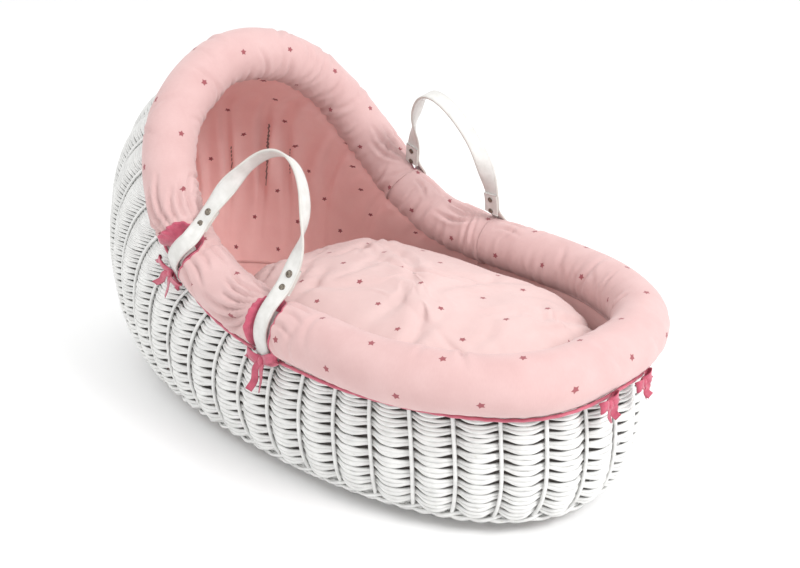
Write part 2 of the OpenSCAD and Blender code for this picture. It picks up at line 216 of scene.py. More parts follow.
class Build:
    """Gathers grids of quads into one mesh, with a UV map in metres."""

    def __init__(self):
        self.verts, self.uvs, self.faces, self.face_uvs = [], [], [], []
        self.count, self.uv_count = 0, 0

    def grid(self, p, close_n=False, close_m=False, uv=None):
        """Adds a grid of points p (n, m, 3). uv is (n or n+1, m or m+1, 2)."""
        n, m = p.shape[:2]
        un, um = n + close_n, m + close_m
        if uv is None:
            uv = np.zeros((un, um, 2))
            q = p[np.arange(un) % n][:, np.arange(um) % m]
            uv[1:, :, 0] = np.cumsum(np.linalg.norm(np.diff(q, axis=0), axis=-1).mean(1))[:, None]
            uv[:, 1:, 1] = np.cumsum(np.linalg.norm(np.diff(q, axis=1), axis=-1), axis=1)
        self.verts.append(p.reshape(-1, 3))
        self.uvs.append(uv.reshape(-1, 2))
        self.faces.append(grid_faces(n, m, close_n, close_m, self.count))
        self.face_uvs.append(grid_faces(un, um, first=self.uv_count))
        self.count += n * m
        self.uv_count += un * um

    def cap(self, ring, centre, flip):
        """A fan of triangles from a ring of points to its centre."""
        m = len(ring)
        j = np.arange(m)
        k = (j + 1) % m
        c = np.full(m, m)
        f = np.stack([j, k, c, c] if flip else [k, j, c, c], -1)
        self.verts.append(np.vstack([ring, centre[None]]))
        self.uvs.append(np.zeros((m + 1, 2)))
        self.faces.append(f + self.count)
        self.face_uvs.append(f + self.uv_count)
        self.count += m + 1
        self.uv_count += m + 1

    def slab(self, p, uv=None):
        """Rings of points that lead from the middle of the underside to that of the top."""
        self.grid(p, True, False, uv)
        self.cap(p[:, -1], p[:, -1].mean(0), False)
        self.cap(p[:, 0], p[:, 0].mean(0), True)

    def close_ends(self, rings, step=1):
        """Both ends of a thin piece whose rings go over its face and back under it."""
        m = rings.shape[1] // 2
        for end, order in ((0, step), (-1, -step)):
            self.grid(np.stack([rings[end][:m], rings[end][m:][::-1]])[::order])

    def piece(self, name, material, body, slot, nodes=(), weld=True):
        """Makes the object, gives it its finish, and lets it ride on its body."""
        v, f = np.vstack(self.verts), np.vstack(self.faces)
        uv, fu = np.vstack(self.uvs), np.vstack(self.face_uvs)
        mesh = bpy.data.meshes.new(name)
        quads = f[:, 2] != f[:, 3]
        lists = [list(map(int, q)) if four else list(map(int, q[:3])) for q, four in zip(f, quads)]
        mesh.from_pydata([tuple(p) for p in v], [], lists)
        layer = mesh.uv_layers.new(name="metres")
        keep = np.ones(f.shape, bool)
        keep[~quads, 3] = False
        layer.data.foreach_set("uv", uv[fu[keep]].astype(np.float32).ravel())
        mesh.polygons.foreach_set("use_smooth", np.full(len(mesh.polygons), True))
        if weld:
            merge_close(mesh)
        mesh.update()
        obj = bpy.data.objects.new(name, mesh)
        bpy.context.scene.collection.objects.link(obj)
        return finish_piece(obj, material, body, nodes)


def merge_close(mesh):
    work = bmesh.new()
    work.from_mesh(mesh)
    bmesh.ops.remove_doubles(work, verts=work.verts, dist=WELD_DISTANCE)
    work.to_mesh(mesh)
    work.free()


def finish_piece(obj, material, body, nodes=()):
    obj.data.materials.clear()
    obj.data.materials.append(material)
    if nodes:
        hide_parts(*nodes)
    if body:
        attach(obj, body)
    return obj


def tangents(path, closed):
    if closed:
        return unit(np.roll(path, -1, 0) - np.roll(path, 1, 0))
    return unit(np.gradient(path, axis=0))


def sweep(path, wide, section, closed=False):
    """Carries a section, (m, 2) or (n, m, 2), along a path, x along wide."""
    t = tangents(path, closed)
    w = unit(wide - dot(wide, t) * t)
    h = np.cross(t, w)
    s = np.broadcast_to(section, (len(path),) + np.shape(section)[-2:])
    return path[:, None] + s[..., :1] * w[:, None] + s[..., 1:] * h[:, None]


def circle(sides, r=1.0):
    a = np.arange(sides) * TAU / sides
    return r * np.stack([np.cos(a), np.sin(a)], -1)


def add_tube(build, path, wide, radii, sides=6, closed=False):
    """A rod along a path; radii is one number, or (n, 2) half axes along wide and across it."""
    r = np.broadcast_to(np.asarray(radii, float).reshape(-1, 1, 1 if np.ndim(radii) < 2 else 2)
                        if np.ndim(radii) else np.full((1, 1, 1), radii), (len(path), 1, 2))
    rings = sweep(path, wide, circle(sides)[None] * r, closed)
    m = rings.shape[1]
    along = lengths(path)
    if closed:
        along = np.append(along, along[-1] + np.linalg.norm(path[0] - path[-1]))
    girth = np.arange(m + 1) / m * TAU * float(r.mean())
    uv = np.stack(np.broadcast_arrays(along[:, None], girth[None, :]), -1)
    build.grid(rings, closed, True, uv)
    if not closed:
        build.cap(rings[0], path[0], False)
        build.cap(rings[-1], path[-1], True)

# ---------- materials ----------

def linear(rgb):
    """A 0-255 screen colour as the linear colour that shaders take."""
    c = np.array(rgb, float) / 255
    return tuple(np.where(c <= 0.04045, c / 12.92, ((c + 0.055) / 1.055) ** 2.4)) + (1.0,)


class Shader:
    """A material under construction; its methods add nodes and give back their outputs."""

    def __init__(self, name, rough, **constants):
        self.material = bpy.data.materials.new(name)
        self.material.use_nodes = True
        self.tree = self.material.node_tree
        self.surface = self.tree.nodes["Principled BSDF"]
        self.surface.inputs["Roughness"].default_value = rough
        for key, value in constants.items():
            self.surface.inputs[key.replace("_", " ")].default_value = value

    def put(self, socket, value):
        if isinstance(value, bpy.types.NodeSocket):
            self.tree.links.new(value, socket)
        else:
            socket.default_value = value

    def node(self, kind, inputs=(), **settings):
        n = self.tree.nodes.new("ShaderNode" + kind)
        for key, value in settings.items():
            setattr(n, key, value)
        for key, value in dict(inputs).items():
            self.put(n.inputs[key], value)
        return n

    def math(self, operation, a, b=0.0):
        return self.node("Math", {0: a, 1: b}, operation=operation).outputs[0]

    def plus(self, a, b):
        return self.math("ADD", a, b)

    def minus(self, a, b):
        return self.math("SUBTRACT", a, b)

    def times(self, a, b):
        return self.math("MULTIPLY", a, b)

    def uv(self):
        """Distances along and across the piece, in metres, as two values."""
        both = self.node("SeparateXYZ", {0: self.node("UVMap", uv_map="metres").outputs[0]})
        return both.outputs[0], both.outputs[1]

    def place(self, x_scale=1.0, y_scale=1.0):
        """The UV map stretched, for grain that follows a strand."""
        uv = self.node("UVMap", uv_map="metres").outputs[0]
        return self.node("Mapping", {0: uv, "Scale": (x_scale, y_scale, 1.0)}).outputs[0]

    def noise(self, scale, detail=3.0, at=None, rough=0.5):
        if at is None:
            at = self.node("TexCoord").outputs["Object"]
        return self.node("TexNoise", {"Vector": at, "Scale": scale, "Detail": detail,
                                      "Roughness": rough}).outputs[0]

    def span(self, value, low, high, to_low=0.0, to_high=1.0):
        return self.node("MapRange", {0: value, 1: low, 2: high, 3: to_low, 4: to_high}).outputs[0]

    def mix(self, share, a, b):
        n = self.node("Mix", data_type="RGBA")
        for key, value in ((0, share), (6, a), (7, b)):
            self.put(n.inputs[key], value)
        return n.outputs[2]

    def bump(self, height, strength, distance, under=None):
        inputs = {"Height": height, "Strength": strength, "Distance": distance}
        if under is not None:
            inputs["Normal"] = under
        return self.node("Bump", inputs).outputs[0]

    def finish(self, colour=None, rough=None, normal=None):
        for key, value in (("Base Color", colour), ("Roughness", rough), ("Normal", normal)):
            if value is not None:
                self.put(self.surface.inputs[key], value)
        return self.material


STAR_ALONG, STAR_ACROSS = 0.077, 0.050
STAR_OUTER, STAR_INNER = 0.0044, 0.0025
THREAD_PITCH = 0.0009
STITCH_PITCH, STITCH_SHARE = 0.0034, 0.62


def star_mask(s, turned=0.0, shift=(0.0, 0.0)):
    """1 on small five-pointed stars set out in staggered rows on the cloth."""
    u, v = s.uv()
    c, d = math.cos(turned), math.sin(turned)
    x = s.plus(s.times(u, c), s.times(v, d))
    y = s.minus(s.times(v, c), s.times(u, d))
    y = s.math("DIVIDE", s.plus(y, shift[1]), STAR_ACROSS)
    row = s.math("FLOOR", y)
    odd = s.times(s.math("FLOORED_MODULO", row, 2.0), 0.5)
    x = s.plus(s.math("DIVIDE", s.plus(x, shift[0]), STAR_ALONG), odd)
    dx = s.times(s.minus(s.math("FRACT", x), 0.5), STAR_ALONG)
    dy = s.times(s.minus(s.math("FRACT", y), 0.5), STAR_ACROSS)
    r = s.math("SQRT", s.plus(s.times(dx, dx), s.times(dy, dy)))
    fifth = TAU / 5
    a = s.math("FLOORED_MODULO", s.plus(s.math("ARCTAN2", dy, dx), fifth / 2), fifth)
    a = s.math("ABSOLUTE", s.minus(a, fifth / 2))
    tip = np.array([STAR_OUTER, 0.0])
    notch = STAR_INNER * np.array([math.cos(fifth / 2), math.sin(fifth / 2)])
    edge = notch - tip
    normal = np.array([edge[1], -edge[0]]) / np.linalg.norm(edge)
    reach = s.times(r, s.plus(s.times(s.math("COSINE", a), float(normal[0])),
                              s.times(s.math("SINE", a), float(normal[1]))))
    limit = float(normal @ tip)
    return s.span(reach, limit + 0.0002, limit - 0.0002)


def fabric(name, colour, shade, star=None, turned=0.0, shift=(0.0, 0.0), seams=()):
    """Plain-woven cotton: fine threads, soft mottling, printed stars and rows of stitches."""
    s = Shader(name, 0.85, Sheen_Weight=0.25, Sheen_Roughness=0.5, Specular_IOR_Level=0.25)
    u, v = s.uv()
    threads = s.times(s.math("SINE", s.times(u, TAU / THREAD_PITCH)),
                      s.math("SINE", s.times(v, TAU / THREAD_PITCH)))
    slub = s.noise(1.0, 4.0, s.place(900.0, 160.0))
    soft = s.noise(28.0, 3.0)
    tone = s.plus(s.times(s.span(soft, 0.3, 0.7), 0.7),
                  s.times(s.span(slub, 0.3, 0.7), 0.3))
    base = s.mix(tone, linear(shade), linear(colour))
    height = s.plus(s.times(threads, 0.5), slub)
    for at in seams:
        near = s.span(s.math("ABSOLUTE", s.minus(v, at)), 0.0008, 0.0002)
        dash = s.math("LESS_THAN", s.math("FRACT", s.math("DIVIDE", u, STITCH_PITCH)), STITCH_SHARE)
        stitch = s.times(near, dash)
        base = s.mix(s.times(stitch, 0.55), base, linear((196, 120, 132)))
        height = s.minus(height, s.times(near, 1.5))
    if star is not None:
        base = s.mix(star_mask(s, turned, shift), base, linear(star))
    creases = s.noise(60.0, 4.0)
    normal = s.bump(creases, 0.25, 0.0012, s.bump(height, 0.25, 0.00025))
    return s.finish(base, None, normal)


PINK, PINK_SHADE = (208, 175, 173), (199, 163, 161)
STAR_ROSE = (150, 82, 88)

wicker_paint = Shader("wicker_paint", 0.42, Specular_IOR_Level=0.45)
_grain = wicker_paint.noise(1.0, 4.0, wicker_paint.place(70.0, 900.0))
_blotch = wicker_paint.noise(60.0, 4.0)
_bare = wicker_paint.span(wicker_paint.noise(210.0, 5.0), 0.64, 0.74)
_coat = wicker_paint.mix(wicker_paint.span(_blotch, 0.3, 0.7), linear((212, 212, 210)),
                         linear((230, 230, 228)))
wicker_paint.finish(
    wicker_paint.mix(wicker_paint.times(_bare, 0.35), _coat, linear((190, 184, 172))),
    wicker_paint.span(_blotch, 0.3, 0.7, 0.34, 0.55),
    wicker_paint.bump(_grain, 0.4, 0.0006, wicker_paint.bump(_blotch, 0.3, 0.0012)),
)
WICKER = wicker_paint.material

BUMPER_FABRIC = fabric("bumper_fabric", PINK, PINK_SHADE, STAR_ROSE, shift=(0.0385, 0.028),
                       seams=(-0.040,))
# Painted light: the same pink cloth as the bumper, made lighter to make up for the shade inside the
# basket and the hood.
LIGHTENED_LINING_FABRIC = fabric("lining_fabric", (246, 204, 200), (240, 192, 189), STAR_ROSE)
COVERLET_FABRIC = fabric("coverlet_fabric", (214, 186, 183), (207, 177, 174), STAR_ROSE,
                         turned=0.47)
# Painted shade: a dark grey cloth for the back faces of the linings, so the gaps of the weave look
# as dark as the shade behind them.
SHADE_BACKING = fabric("painted_shade_cloth", (120, 112, 108), (104, 97, 94))
SHEET_COTTON = fabric("sheet_cotton", (246, 243, 238), (238, 234, 228))


def satin(name, colour, shade, rib):
    """Ribbon or bias binding: a smooth weave with fine ribs across it."""
    s = Shader(name, 0.45, Sheen_Weight=0.3, Specular_IOR_Level=0.4)
    u, v = s.uv()
    ribs = s.math("SINE", s.times(s.plus(u, s.times(v, rib)), TAU / 0.0016))
    soft = s.noise(140.0, 3.0)
    return s.finish(s.mix(s.span(soft, 0.3, 0.7), linear(shade), linear(colour)), None,
                    s.bump(s.plus(ribs, soft), 0.35, 0.0003))


PIPING = satin("piping_cotton", (200, 104, 122), (184, 86, 106), 1.0)
RIBBON = satin("ribbon_satin", (194, 88, 110), (172, 68, 92), 0.0)

foam = Shader("foam", 0.95)
_cells = foam.node("TexVoronoi", {"Vector": foam.node("TexCoord").outputs["Object"],
                                  "Scale": 700.0}).outputs[0]
FOAM = foam.finish(foam.mix(_cells, linear((236, 226, 196)), linear((246, 240, 216))), None,
                   foam.bump(_cells, 0.5, 0.0006))


def leather_material():
    s = Shader("strap_leather", 0.5, Specular_IOR_Level=0.45)
    _, v = s.uv()
    pores = s.node("TexVoronoi", {"Vector": s.place(1.0, 1.0), "Scale": 900.0}).outputs[0]
    soft = s.noise(90.0, 4.0)
    middle = s.math("ABSOLUTE", v)
    edge = s.span(middle, 0.0098, 0.0111)
    groove = s.span(s.math("ABSOLUTE", s.minus(middle, 0.0090)), 0.0006, 0.0)
    base = s.mix(s.span(soft, 0.35, 0.65), linear((204, 203, 199)), linear((216, 215, 212)))
    base = s.mix(s.times(groove, 0.25), base, linear((176, 172, 164)))
    base = s.mix(s.times(edge, 0.55), base, linear((186, 180, 170)))
    height = s.minus(s.times(pores, 0.4), groove)
    normal = s.bump(soft, 0.25, 0.001, s.bump(height, 0.5, 0.0005))
    return s.finish(base, s.span(soft, 0.3, 0.7, 0.42, 0.6), normal)


LEATHER = leather_material()

metal = Shader("rivet_metal", 0.32, Metallic=1.0)
_worn = metal.noise(420.0, 4.0)
METAL = metal.finish(
    metal.mix(metal.span(_worn, 0.35, 0.7), linear((92, 84, 76)), linear((150, 142, 130))),
    metal.span(_worn, 0.3, 0.7, 0.25, 0.45), metal.bump(_worn, 0.3, 0.0002))

# ---------- wicker ----------

STAKES = 84
FIRST_STAKE = -0.32
STAKE_R, WEAVER_R = 0.0023, 0.0020
BULGE_DEPTH = 0.0016
STAKE_DEPTH = BULGE_DEPTH + WEAVER_R + STAKE_R
STEPS_PER_STAKE = 10
BOTTOM_WEAVE_Z, BOTTOM_STICKS = 0.0095, 44
BORDER_REACH, BORDER_ROD_R, BORDER_RODS, BORDER_PITCH = 0.0052, 0.0036, 5, 0.11
FOOT_ROPE_Z, FOOT_ROPE_REACH, FOOT_ROPE_ROD_R = 0.00305, 0.00145, 0.0016


def wall_shares():
    """How far round the wall each turn is, from 0 to 1, measured half way up."""
    t = np.linspace(0, 1, 3001)
    steps = np.linalg.norm(np.diff(wall(t, np.full_like(t, 0.6)), axis=0), axis=1)
    return t, np.concatenate([[0], np.cumsum(steps)]) / steps.sum()


SHARE_TURNS, SHARES = wall_shares()


def stake_turn(stake):
    share = (np.asarray(stake) + FIRST_STAKE) / STAKES
    return np.interp(np.mod(share, 1.0), SHARES, SHARE_TURNS) + np.floor(share)


def row_levels():
    """Heights of the gaps between rows; the rows get closer towards the rim."""
    z, levels = 0.026, [0.026]
    while z < 0.187:
        z += np.interp(z, [0.04, 0.085, 0.11, 0.15], [0.0128, 0.0136, 0.0125, 0.0095])
        levels.append(z)
    return np.array(levels)


def weave_row(build, stakes, low, top, rng, closed, ends=0.0):
    """One row: a pair of rods that goes behind every even stake and before every odd one."""
    turn = stake_turn(stakes)
    wave = np.cos(math.pi * stakes)
    tight = (0.5 + 0.5 * wave) ** 1.6
    depth = BULGE_DEPTH + 2 * (STAKE_R + WEAVER_R) * tight
    pitch = np.linalg.norm(wall(turn, top) - wall(turn, low), axis=-1)
    pinch = (0.5 + 0.5 * wave) ** 0.8
    spread = np.clip(pitch * 0.25, 0.0004, 0.0042) * (1 - 0.55 * pinch)
    knots = np.arange(0, len(stakes), STEPS_PER_STAKE)
    for side in (-1, 1):
        drift = np.interp(np.arange(len(stakes)), knots, rng.normal(0, 0.00035, len(knots)))
        if closed:
            drift[-STEPS_PER_STAKE:] *= np.linspace(1, 0, STEPS_PER_STAKE)
            drift[:STEPS_PER_STAKE] *= np.linspace(0, 1, STEPS_PER_STAKE)
        offset = side * spread + drift
        share = 0.5 + offset / np.maximum(pitch, 1e-4)
        up = low + (top - low) * share
        thick = rng.normal(1.0, 0.05)
        lean = 0.0005 * side * pinch
        path = inside(turn, up, depth + ends + lean)
        height = np.clip(pitch * 0.262, 0.0017, 0.0037) * thick
        radii = np.stack([np.full(len(stakes), WEAVER_R * thick), height * (1 - 0.34 * pinch)], -1)
        add_tube(build, path, wall_normal(turn, up), radii, 6, closed)


def side_weave():
    rng = np.random.default_rng(11)
    build = Build()
    stakes = np.arange(STAKES * STEPS_PER_STAKE) / STEPS_PER_STAKE
    turn = stake_turn(stakes)
    levels = row_levels()
    for low, top in zip(levels[:-1], levels[1:]):
        weave_row(build, stakes, at_height(turn, low), at_height(turn, top), rng, True)
    return build.piece("side_rods", WICKER, "basket", "wicker", ["side_weave"])


HOOD_ROWS = 26
HOOD_ROW_LEAST = 0.0078


def hood_weave():
    rng = np.random.default_rng(12)
    build = Build()
    t_all = np.linspace(HOOD_START, 1 - HOOD_START, 1200)
    foot_line = at_height(t_all, row_levels()[-1])
    top_line = below_rim(t_all, BORDER_GAP)
    height = np.linalg.norm(wall(t_all, top_line) - wall(t_all, foot_line), axis=-1)
    height = height * (top_line > foot_line)
    rows = np.minimum(HOOD_ROWS, height / HOOD_ROW_LEAST)
    for row in range(HOOD_ROWS):
        on = t_all[rows > row + 0.35]
        first, last = (
            (np.interp(t, SHARE_TURNS, SHARES) * STAKES - FIRST_STAKE) * STEPS_PER_STAKE
            for t in (on[0], on[-1]))
        stakes = np.arange(math.ceil(first), math.floor(last) + 1) / STEPS_PER_STAKE
        turn = stake_turn(stakes)
        a, b = at_height(turn, row_levels()[-1]), below_rim(turn, BORDER_GAP)
        count = np.interp(turn, t_all, rows)
        low = a + (b - a) * row / count
        top = a + (b - a) * np.minimum((row + 1) / count, 1.02)
        from_end = np.minimum(stakes - stakes[0], stakes[-1] - stakes)
        weave_row(build, stakes, low, top, rng, False, 0.004 * (1 - ease(from_end)))
    return build.piece("hood_rods", WICKER, "basket", "wicker", ["hood_weave"])


def uprights():
    rng = np.random.default_rng(13)
    build = Build()
    for stake in range(STAKES):
        turn = float(stake_turn(stake))
        top = float(below_rim(np.array(turn), BORDER_GAP + 0.002))
        n = 26 if top > 0.9 else 20
        up = np.linspace(0.02, top, n)
        wobble = np.interp(np.linspace(0, 1, n), np.linspace(0, 1, 5), rng.normal(0, 0.0004, 5))
        t = np.full(n, turn) + wobble
        path = inside(t, up, np.full(n, STAKE_DEPTH))
        add_tube(build, path, wall_normal(t, up), STAKE_R * rng.normal(1, 0.04), 7)
    return build.piece("stakes", WICKER, "basket", "wicker", ["uprights"])


def waling():
    """Two lowest rows, of three rods each that wrap round one another like a rope."""
    rng = np.random.default_rng(14)
    build = Build()
    stakes = np.arange(STAKES * STEPS_PER_STAKE) / STEPS_PER_STAKE
    turn = stake_turn(stakes)
    for middle, reach in ((0.0112, 0.0023), (0.0205, 0.0028)):
        up0 = at_height(turn, middle)
        lift = np.linalg.norm(wall(turn, up0 + 0.02) - wall(turn, up0), axis=-1) / 0.02
        for strand in range(3):
            phase = TAU * (stakes + strand) / 3
            depth = STAKE_DEPTH + (STAKE_R + WEAVER_R) * np.cos(phase)
            up = up0 + reach * np.sin(phase) / lift * 1.25
            path = inside(turn, up, depth)
            radii = np.stack([np.full(len(turn), 0.0023), np.full(len(turn), 0.0027)], -1)
            add_tube(build, path, wall_normal(turn, up), radii * rng.normal(1, 0.03), 6, True)
    return build.piece("waling_rods", WICKER, "basket", "wicker", ["waling_band"])


def rope(build, path, wide, reach, thick, strands, pitch):
    """Strands wound round a closed path."""
    t = tangents(path, True)
    w = unit(wide - dot(wide, t) * t)
    h = np.cross(t, w)
    step = np.linalg.norm(np.roll(path, -1, 0) - path, axis=1)
    along = np.concatenate([[0], np.cumsum(step)[:-1]])
    total = along[-1] + step[-1]
    winds = round(total / pitch)
    for strand in range(strands):
        a = TAU * (winds * along / total + strand / strands)
        out = np.cos(a)[:, None] * w + np.sin(a)[:, None] * h
        add_tube(build, path + reach * out, out, thick, 6, True)


def foot_ring():
    """Three ropes of thin rods under the edge of the bottom, which the basket stands on."""
    build = Build()
    turn = np.arange(720) / 720
    for out in (0.0045, -0.0020, -0.0085):
        path = bottom(turn, out, FOOT_ROPE_Z)
        rope(build, path, points(np.zeros(720), np.zeros(720), np.ones(720)),
             FOOT_ROPE_REACH, FOOT_ROPE_ROD_R, 3, 0.030)
    return build.piece("foot_ring", WICKER, "basket", "wicker", ["base_ring"])


def woven_bottom():
    """Oval rounds of rods woven over and under the sticks of the bottom."""
    build = Build()
    rng = np.random.default_rng(15)
    turn = np.arange(600) / 600
    for ring, out in enumerate(np.arange(-0.005, -0.150, -0.0068)):
        path = bottom(turn, out, BOTTOM_WEAVE_Z)
        path[:, 2] += 0.0022 * np.cos(math.pi * BOTTOM_STICKS * turn + math.pi * (ring % 2))
        add_tube(build, path, points(np.zeros(600), np.zeros(600), np.ones(600)),
                 np.tile([[0.0015, 0.0032]], (600, 1)) * rng.normal(1, 0.03), 6, True)
    for stick in range(BOTTOM_STICKS):
        t = (stick + 0.5) / BOTTOM_STICKS
        edge = bottom(t, -0.003, BOTTOM_WEAVE_Z)
        core = np.array([np.clip(edge[0], -0.19, 0.205), 0.0, BOTTOM_WEAVE_Z])
        line = core + (edge - core) * np.linspace(0, 1, 14)[:, None]
        add_tube(build, line, np.tile([[0.0, 0.0, 1.0]], (14, 1)), 0.0017, 6)
    spine = points(np.linspace(-0.21, 0.225, 30), np.zeros(30), np.full(30, BOTTOM_WEAVE_Z))
    add_tube(build, spine, np.tile([[0.0, 0.0, 1.0]], (30, 1)), 0.0030, 6)
    return build.piece("woven_bottom", WICKER, "basket", "wicker", ["base_weave"])


def rim_border():
    """Rolled border at the rim, of five rods wound round one another."""
    build = Build()
    turn = rim_turn(np.linspace(0, rim_length(1.0), 900, endpoint=False))
    rope(build, at_rim(turn, np.full(900, BORDER_Q), np.zeros(900)), rim_frame(turn)[1],
         BORDER_REACH, BORDER_ROD_R, BORDER_RODS, BORDER_PITCH)
    return build.piece("border_rods", WICKER, "basket", "wicker", ["rim_border"])

# ---------- padded bumper ----------

ANGLES = np.radians(np.linspace(-76, 240, 66))
GIRTH = PAD_R * ANGLES
FINE_END = 0.034
HEM_RIPPLE = 0.017
HEM_CORD_OUT, HEM_CORD_UP, HEM_CORD_R = 0.0090, -0.0375, 0.0021


def resample(p, n):
    """n points evenly along a line of points."""
    along = lengths(p)
    at = np.linspace(0, along[-1], n)
    return np.stack([np.interp(at, along, p[:, k]) for k in range(p.shape[1])], -1)


def pocket_line():
    """The inner side of the pad's section, round the wall and the border."""
    a = np.radians(np.linspace(205, -25, 12))
    arc = np.stack([BORDER_Q + 0.0115 * np.cos(a), 0.0115 * np.sin(a)], -1)
    start = np.array([[-17.5, -32.0], [-20.0, -30.0], [-19, -22], [-18, -12]]) * MM
    end = np.array([[3.5, -12], [4.5, -22], [6, -33], [8.2, -35.2]]) * MM
    return resample(np.vstack([start, arc, end]), len(ANGLES))[::-1]


POCKET = pocket_line()


class Creases:
    """Soft folds pressed into cloth: each a line on the cloth with a width and a depth."""

    def __init__(self, seed):
        self.rng = np.random.default_rng(seed)
        self.lines = []

    def add(self, a, b, width, depth):
        self.lines.append((np.array(a, float), np.array(b, float), width, depth))

    def scatter(self, count, s_range, v_range, slant, length, width, depth):
        r = self.rng
        for _ in range(count):
            s, v = r.uniform(*s_range), r.uniform(*v_range)
            half = r.uniform(*length) / 2
            lean = r.normal(0, slant)
            d = np.array([math.sin(lean), math.cos(lean)]) * half
            self.add((s - d[0], v - d[1]), (s + d[0], v + d[1]),
                     r.uniform(*width), r.uniform(*depth))

    def height(self, s, v):
        """How far the cloth moves out at distance s along and v across."""
        total = np.zeros(np.broadcast(s, v).shape)
        for a, b, width, depth in self.lines:
            d = b - a
            length = math.hypot(*d)
            t = ((s - a[0]) * d[0] + (v - a[1]) * d[1]) / length ** 2
            side = ((s - a[0]) * d[1] - (v - a[1]) * d[0]) / length
            bend = side - 0.10 * length * np.sin(np.pi * np.clip(t, 0, 1))
            over = np.maximum(np.maximum(-t, t - 1), 0) * length
            fade = np.exp(-(over / (1.6 * width)) ** 2) * (0.35 + 0.65 * np.sin(
                np.pi * np.clip(t, 0.06, 0.94)))
            valley = np.exp(-(bend / width) ** 2)
            ridges = (np.exp(-((bend - 2.1 * width) / (1.5 * width)) ** 2)
                      + 0.6 * np.exp(-((bend + 2.1 * width) / (1.5 * width)) ** 2))
            total += depth * fade * (0.55 * ridges - valley)
        return total


def smooth_noise(s, v, seed, size, strength):
    """Gentle unevenness of the filling, the same every time."""
    r = np.random.default_rng(seed)
    total = np.zeros(np.broadcast(s, v).shape)
    for _ in range(7):
        turn, wave = r.uniform(0, TAU), size * r.uniform(0.7, 1.6)
        total += np.sin(TAU * (s * math.cos(turn) + v * math.sin(turn)) / wave + r.uniform(0, TAU))
    return total * strength / 3


NOTCH_DEPTH = 0.0115
NOTCH_NARROWS, NOTCH_NARROWING, NOTCH_TOP = math.radians(38), math.radians(46), math.radians(84)
SLITS = {}


def notch_width(a):
    """How wide a notch is at an angle, as a share of its full width: it closes over the crest."""
    over = np.clip((a - NOTCH_NARROWS) / NOTCH_NARROWING, 0, 0.999)
    return np.sqrt(1 - over ** 2)


def notch(s, a):
    """1 in the notches for the straps, on the outer half of the roll, 0 elsewhere."""
    total = np.zeros(np.broadcast(s, a).shape)
    for middle, low, high in SLITS.values():
        x = (s - middle) / np.where(s < middle, low, high) / notch_width(a)
        across = ease((1 - np.abs(x)) / 0.38)
        total = np.maximum(total, across * ease((NOTCH_TOP - a) / math.radians(30)))
    return total


def set_slits():
    for turn in (FRONT_TURN, REAR_TURN, 1 - REAR_TURN, 1 - FRONT_TURN):
        low = high = SLIT_W / 2 + 0.001
        if turn == REAR_TURN:
            high = SLIT_W / 2 + 0.009
        if turn == 1 - REAR_TURN:
            low = SLIT_W / 2 + 0.009
        SLITS[turn] = (float(rim_length(turn)), low, high)


def pad_radius(s, angles, stretch):
    """Distance of the pad's face from the rim's line."""
    creases, seed, gather = stretch[2:]
    grid_s = s if s.ndim == 2 else s[:, None]
    angles = angles if angles.ndim == 2 else angles[None, :]
    grid_v = PAD_R * angles
    lift = smooth_noise(grid_s, grid_v, seed, 0.11, 0.0010)
    lift = lift + creases.height(grid_s, grid_v)
    inner = ease((grid_v - 0.060) / 0.055)
    puckers = (np.sin(TAU * grid_s / 0.0215 + 1.4 * np.sin(TAU * grid_s / 0.083))
               + 0.6 * np.sin(TAU * grid_s / 0.0137 + seed))
    lift = lift + gather * 0.0011 * inner * puckers
    inner_pleats = np.exp(-((grid_v - 0.118) / 0.020) ** 2)
    pleats = np.sin(TAU * grid_s / 0.033 + 2 * np.sin(TAU * grid_s / 0.19))
    lift = lift - gather * 0.0012 * inner_pleats * np.maximum(0, pleats) ** 3
    hem = ease((GIRTH[0] + 0.026 - grid_v) / 0.026)
    lift = lift + gather * 0.0005 * hem * np.sin(TAU * grid_s / HEM_RIPPLE + seed)
    keep = ease((grid_v - GIRTH[0]) / 0.012) * ease((GIRTH[-1] - grid_v) / 0.010)
    deep = notch(grid_s, angles)
    lift = np.clip(lift, -0.0065, 0.0030) * keep * (1 - 0.75 * deep)
    return PAD_R - 0.0006 + lift - NOTCH_DEPTH * deep


def pad_points(s, stretch):
    """Outer and inner points of the pad at distances s along the rim."""
    turn = rim_turn(s)
    _, o, u = rim_frame(turn)
    centre = rim(turn)
    r = pad_radius(s, ANGLES, stretch)
    a = ANGLES[None, :]
    out, up = r * np.cos(a), r * np.sin(a) - PAD_DROP
    outer = centre[:, None] + out[..., None] * o[:, None] + up[..., None] * u[:, None]
    q = POCKET[None]
    inner_side = centre[:, None] + q[..., :1] * o[:, None] + q[..., 1:] * u[:, None]
    return outer, inner_side


def bumper(name, node, stretch):
    """One stretch of the padded bumper, from one strap's slit to the next."""
    start, end = stretch[:2]
    fine = np.arange(0, FINE_END, 0.0012)
    n = int((end - start - 2 * FINE_END) / 0.0032)
    middle = np.linspace(start + FINE_END, end - FINE_END, n)
    s = np.concatenate([start + fine, middle, (end - fine)[::-1]])
    outer, inner = pad_points(s, stretch)
    build = Build()
    ring = np.concatenate([outer, inner[:, ::-1]], axis=1)
    v = np.concatenate([GIRTH, np.linspace(GIRTH[-1], GIRTH[-1] + 0.1, len(ANGLES) + 1)])
    uv = np.stack(np.broadcast_arrays(s[:, None], v[None, :]), -1)
    build.grid(ring, False, True, uv)
    build.close_ends(ring, -1)
    piece = build.piece(name, BUMPER_FABRIC, "basket", "lining_fabric", [node])
    return piece


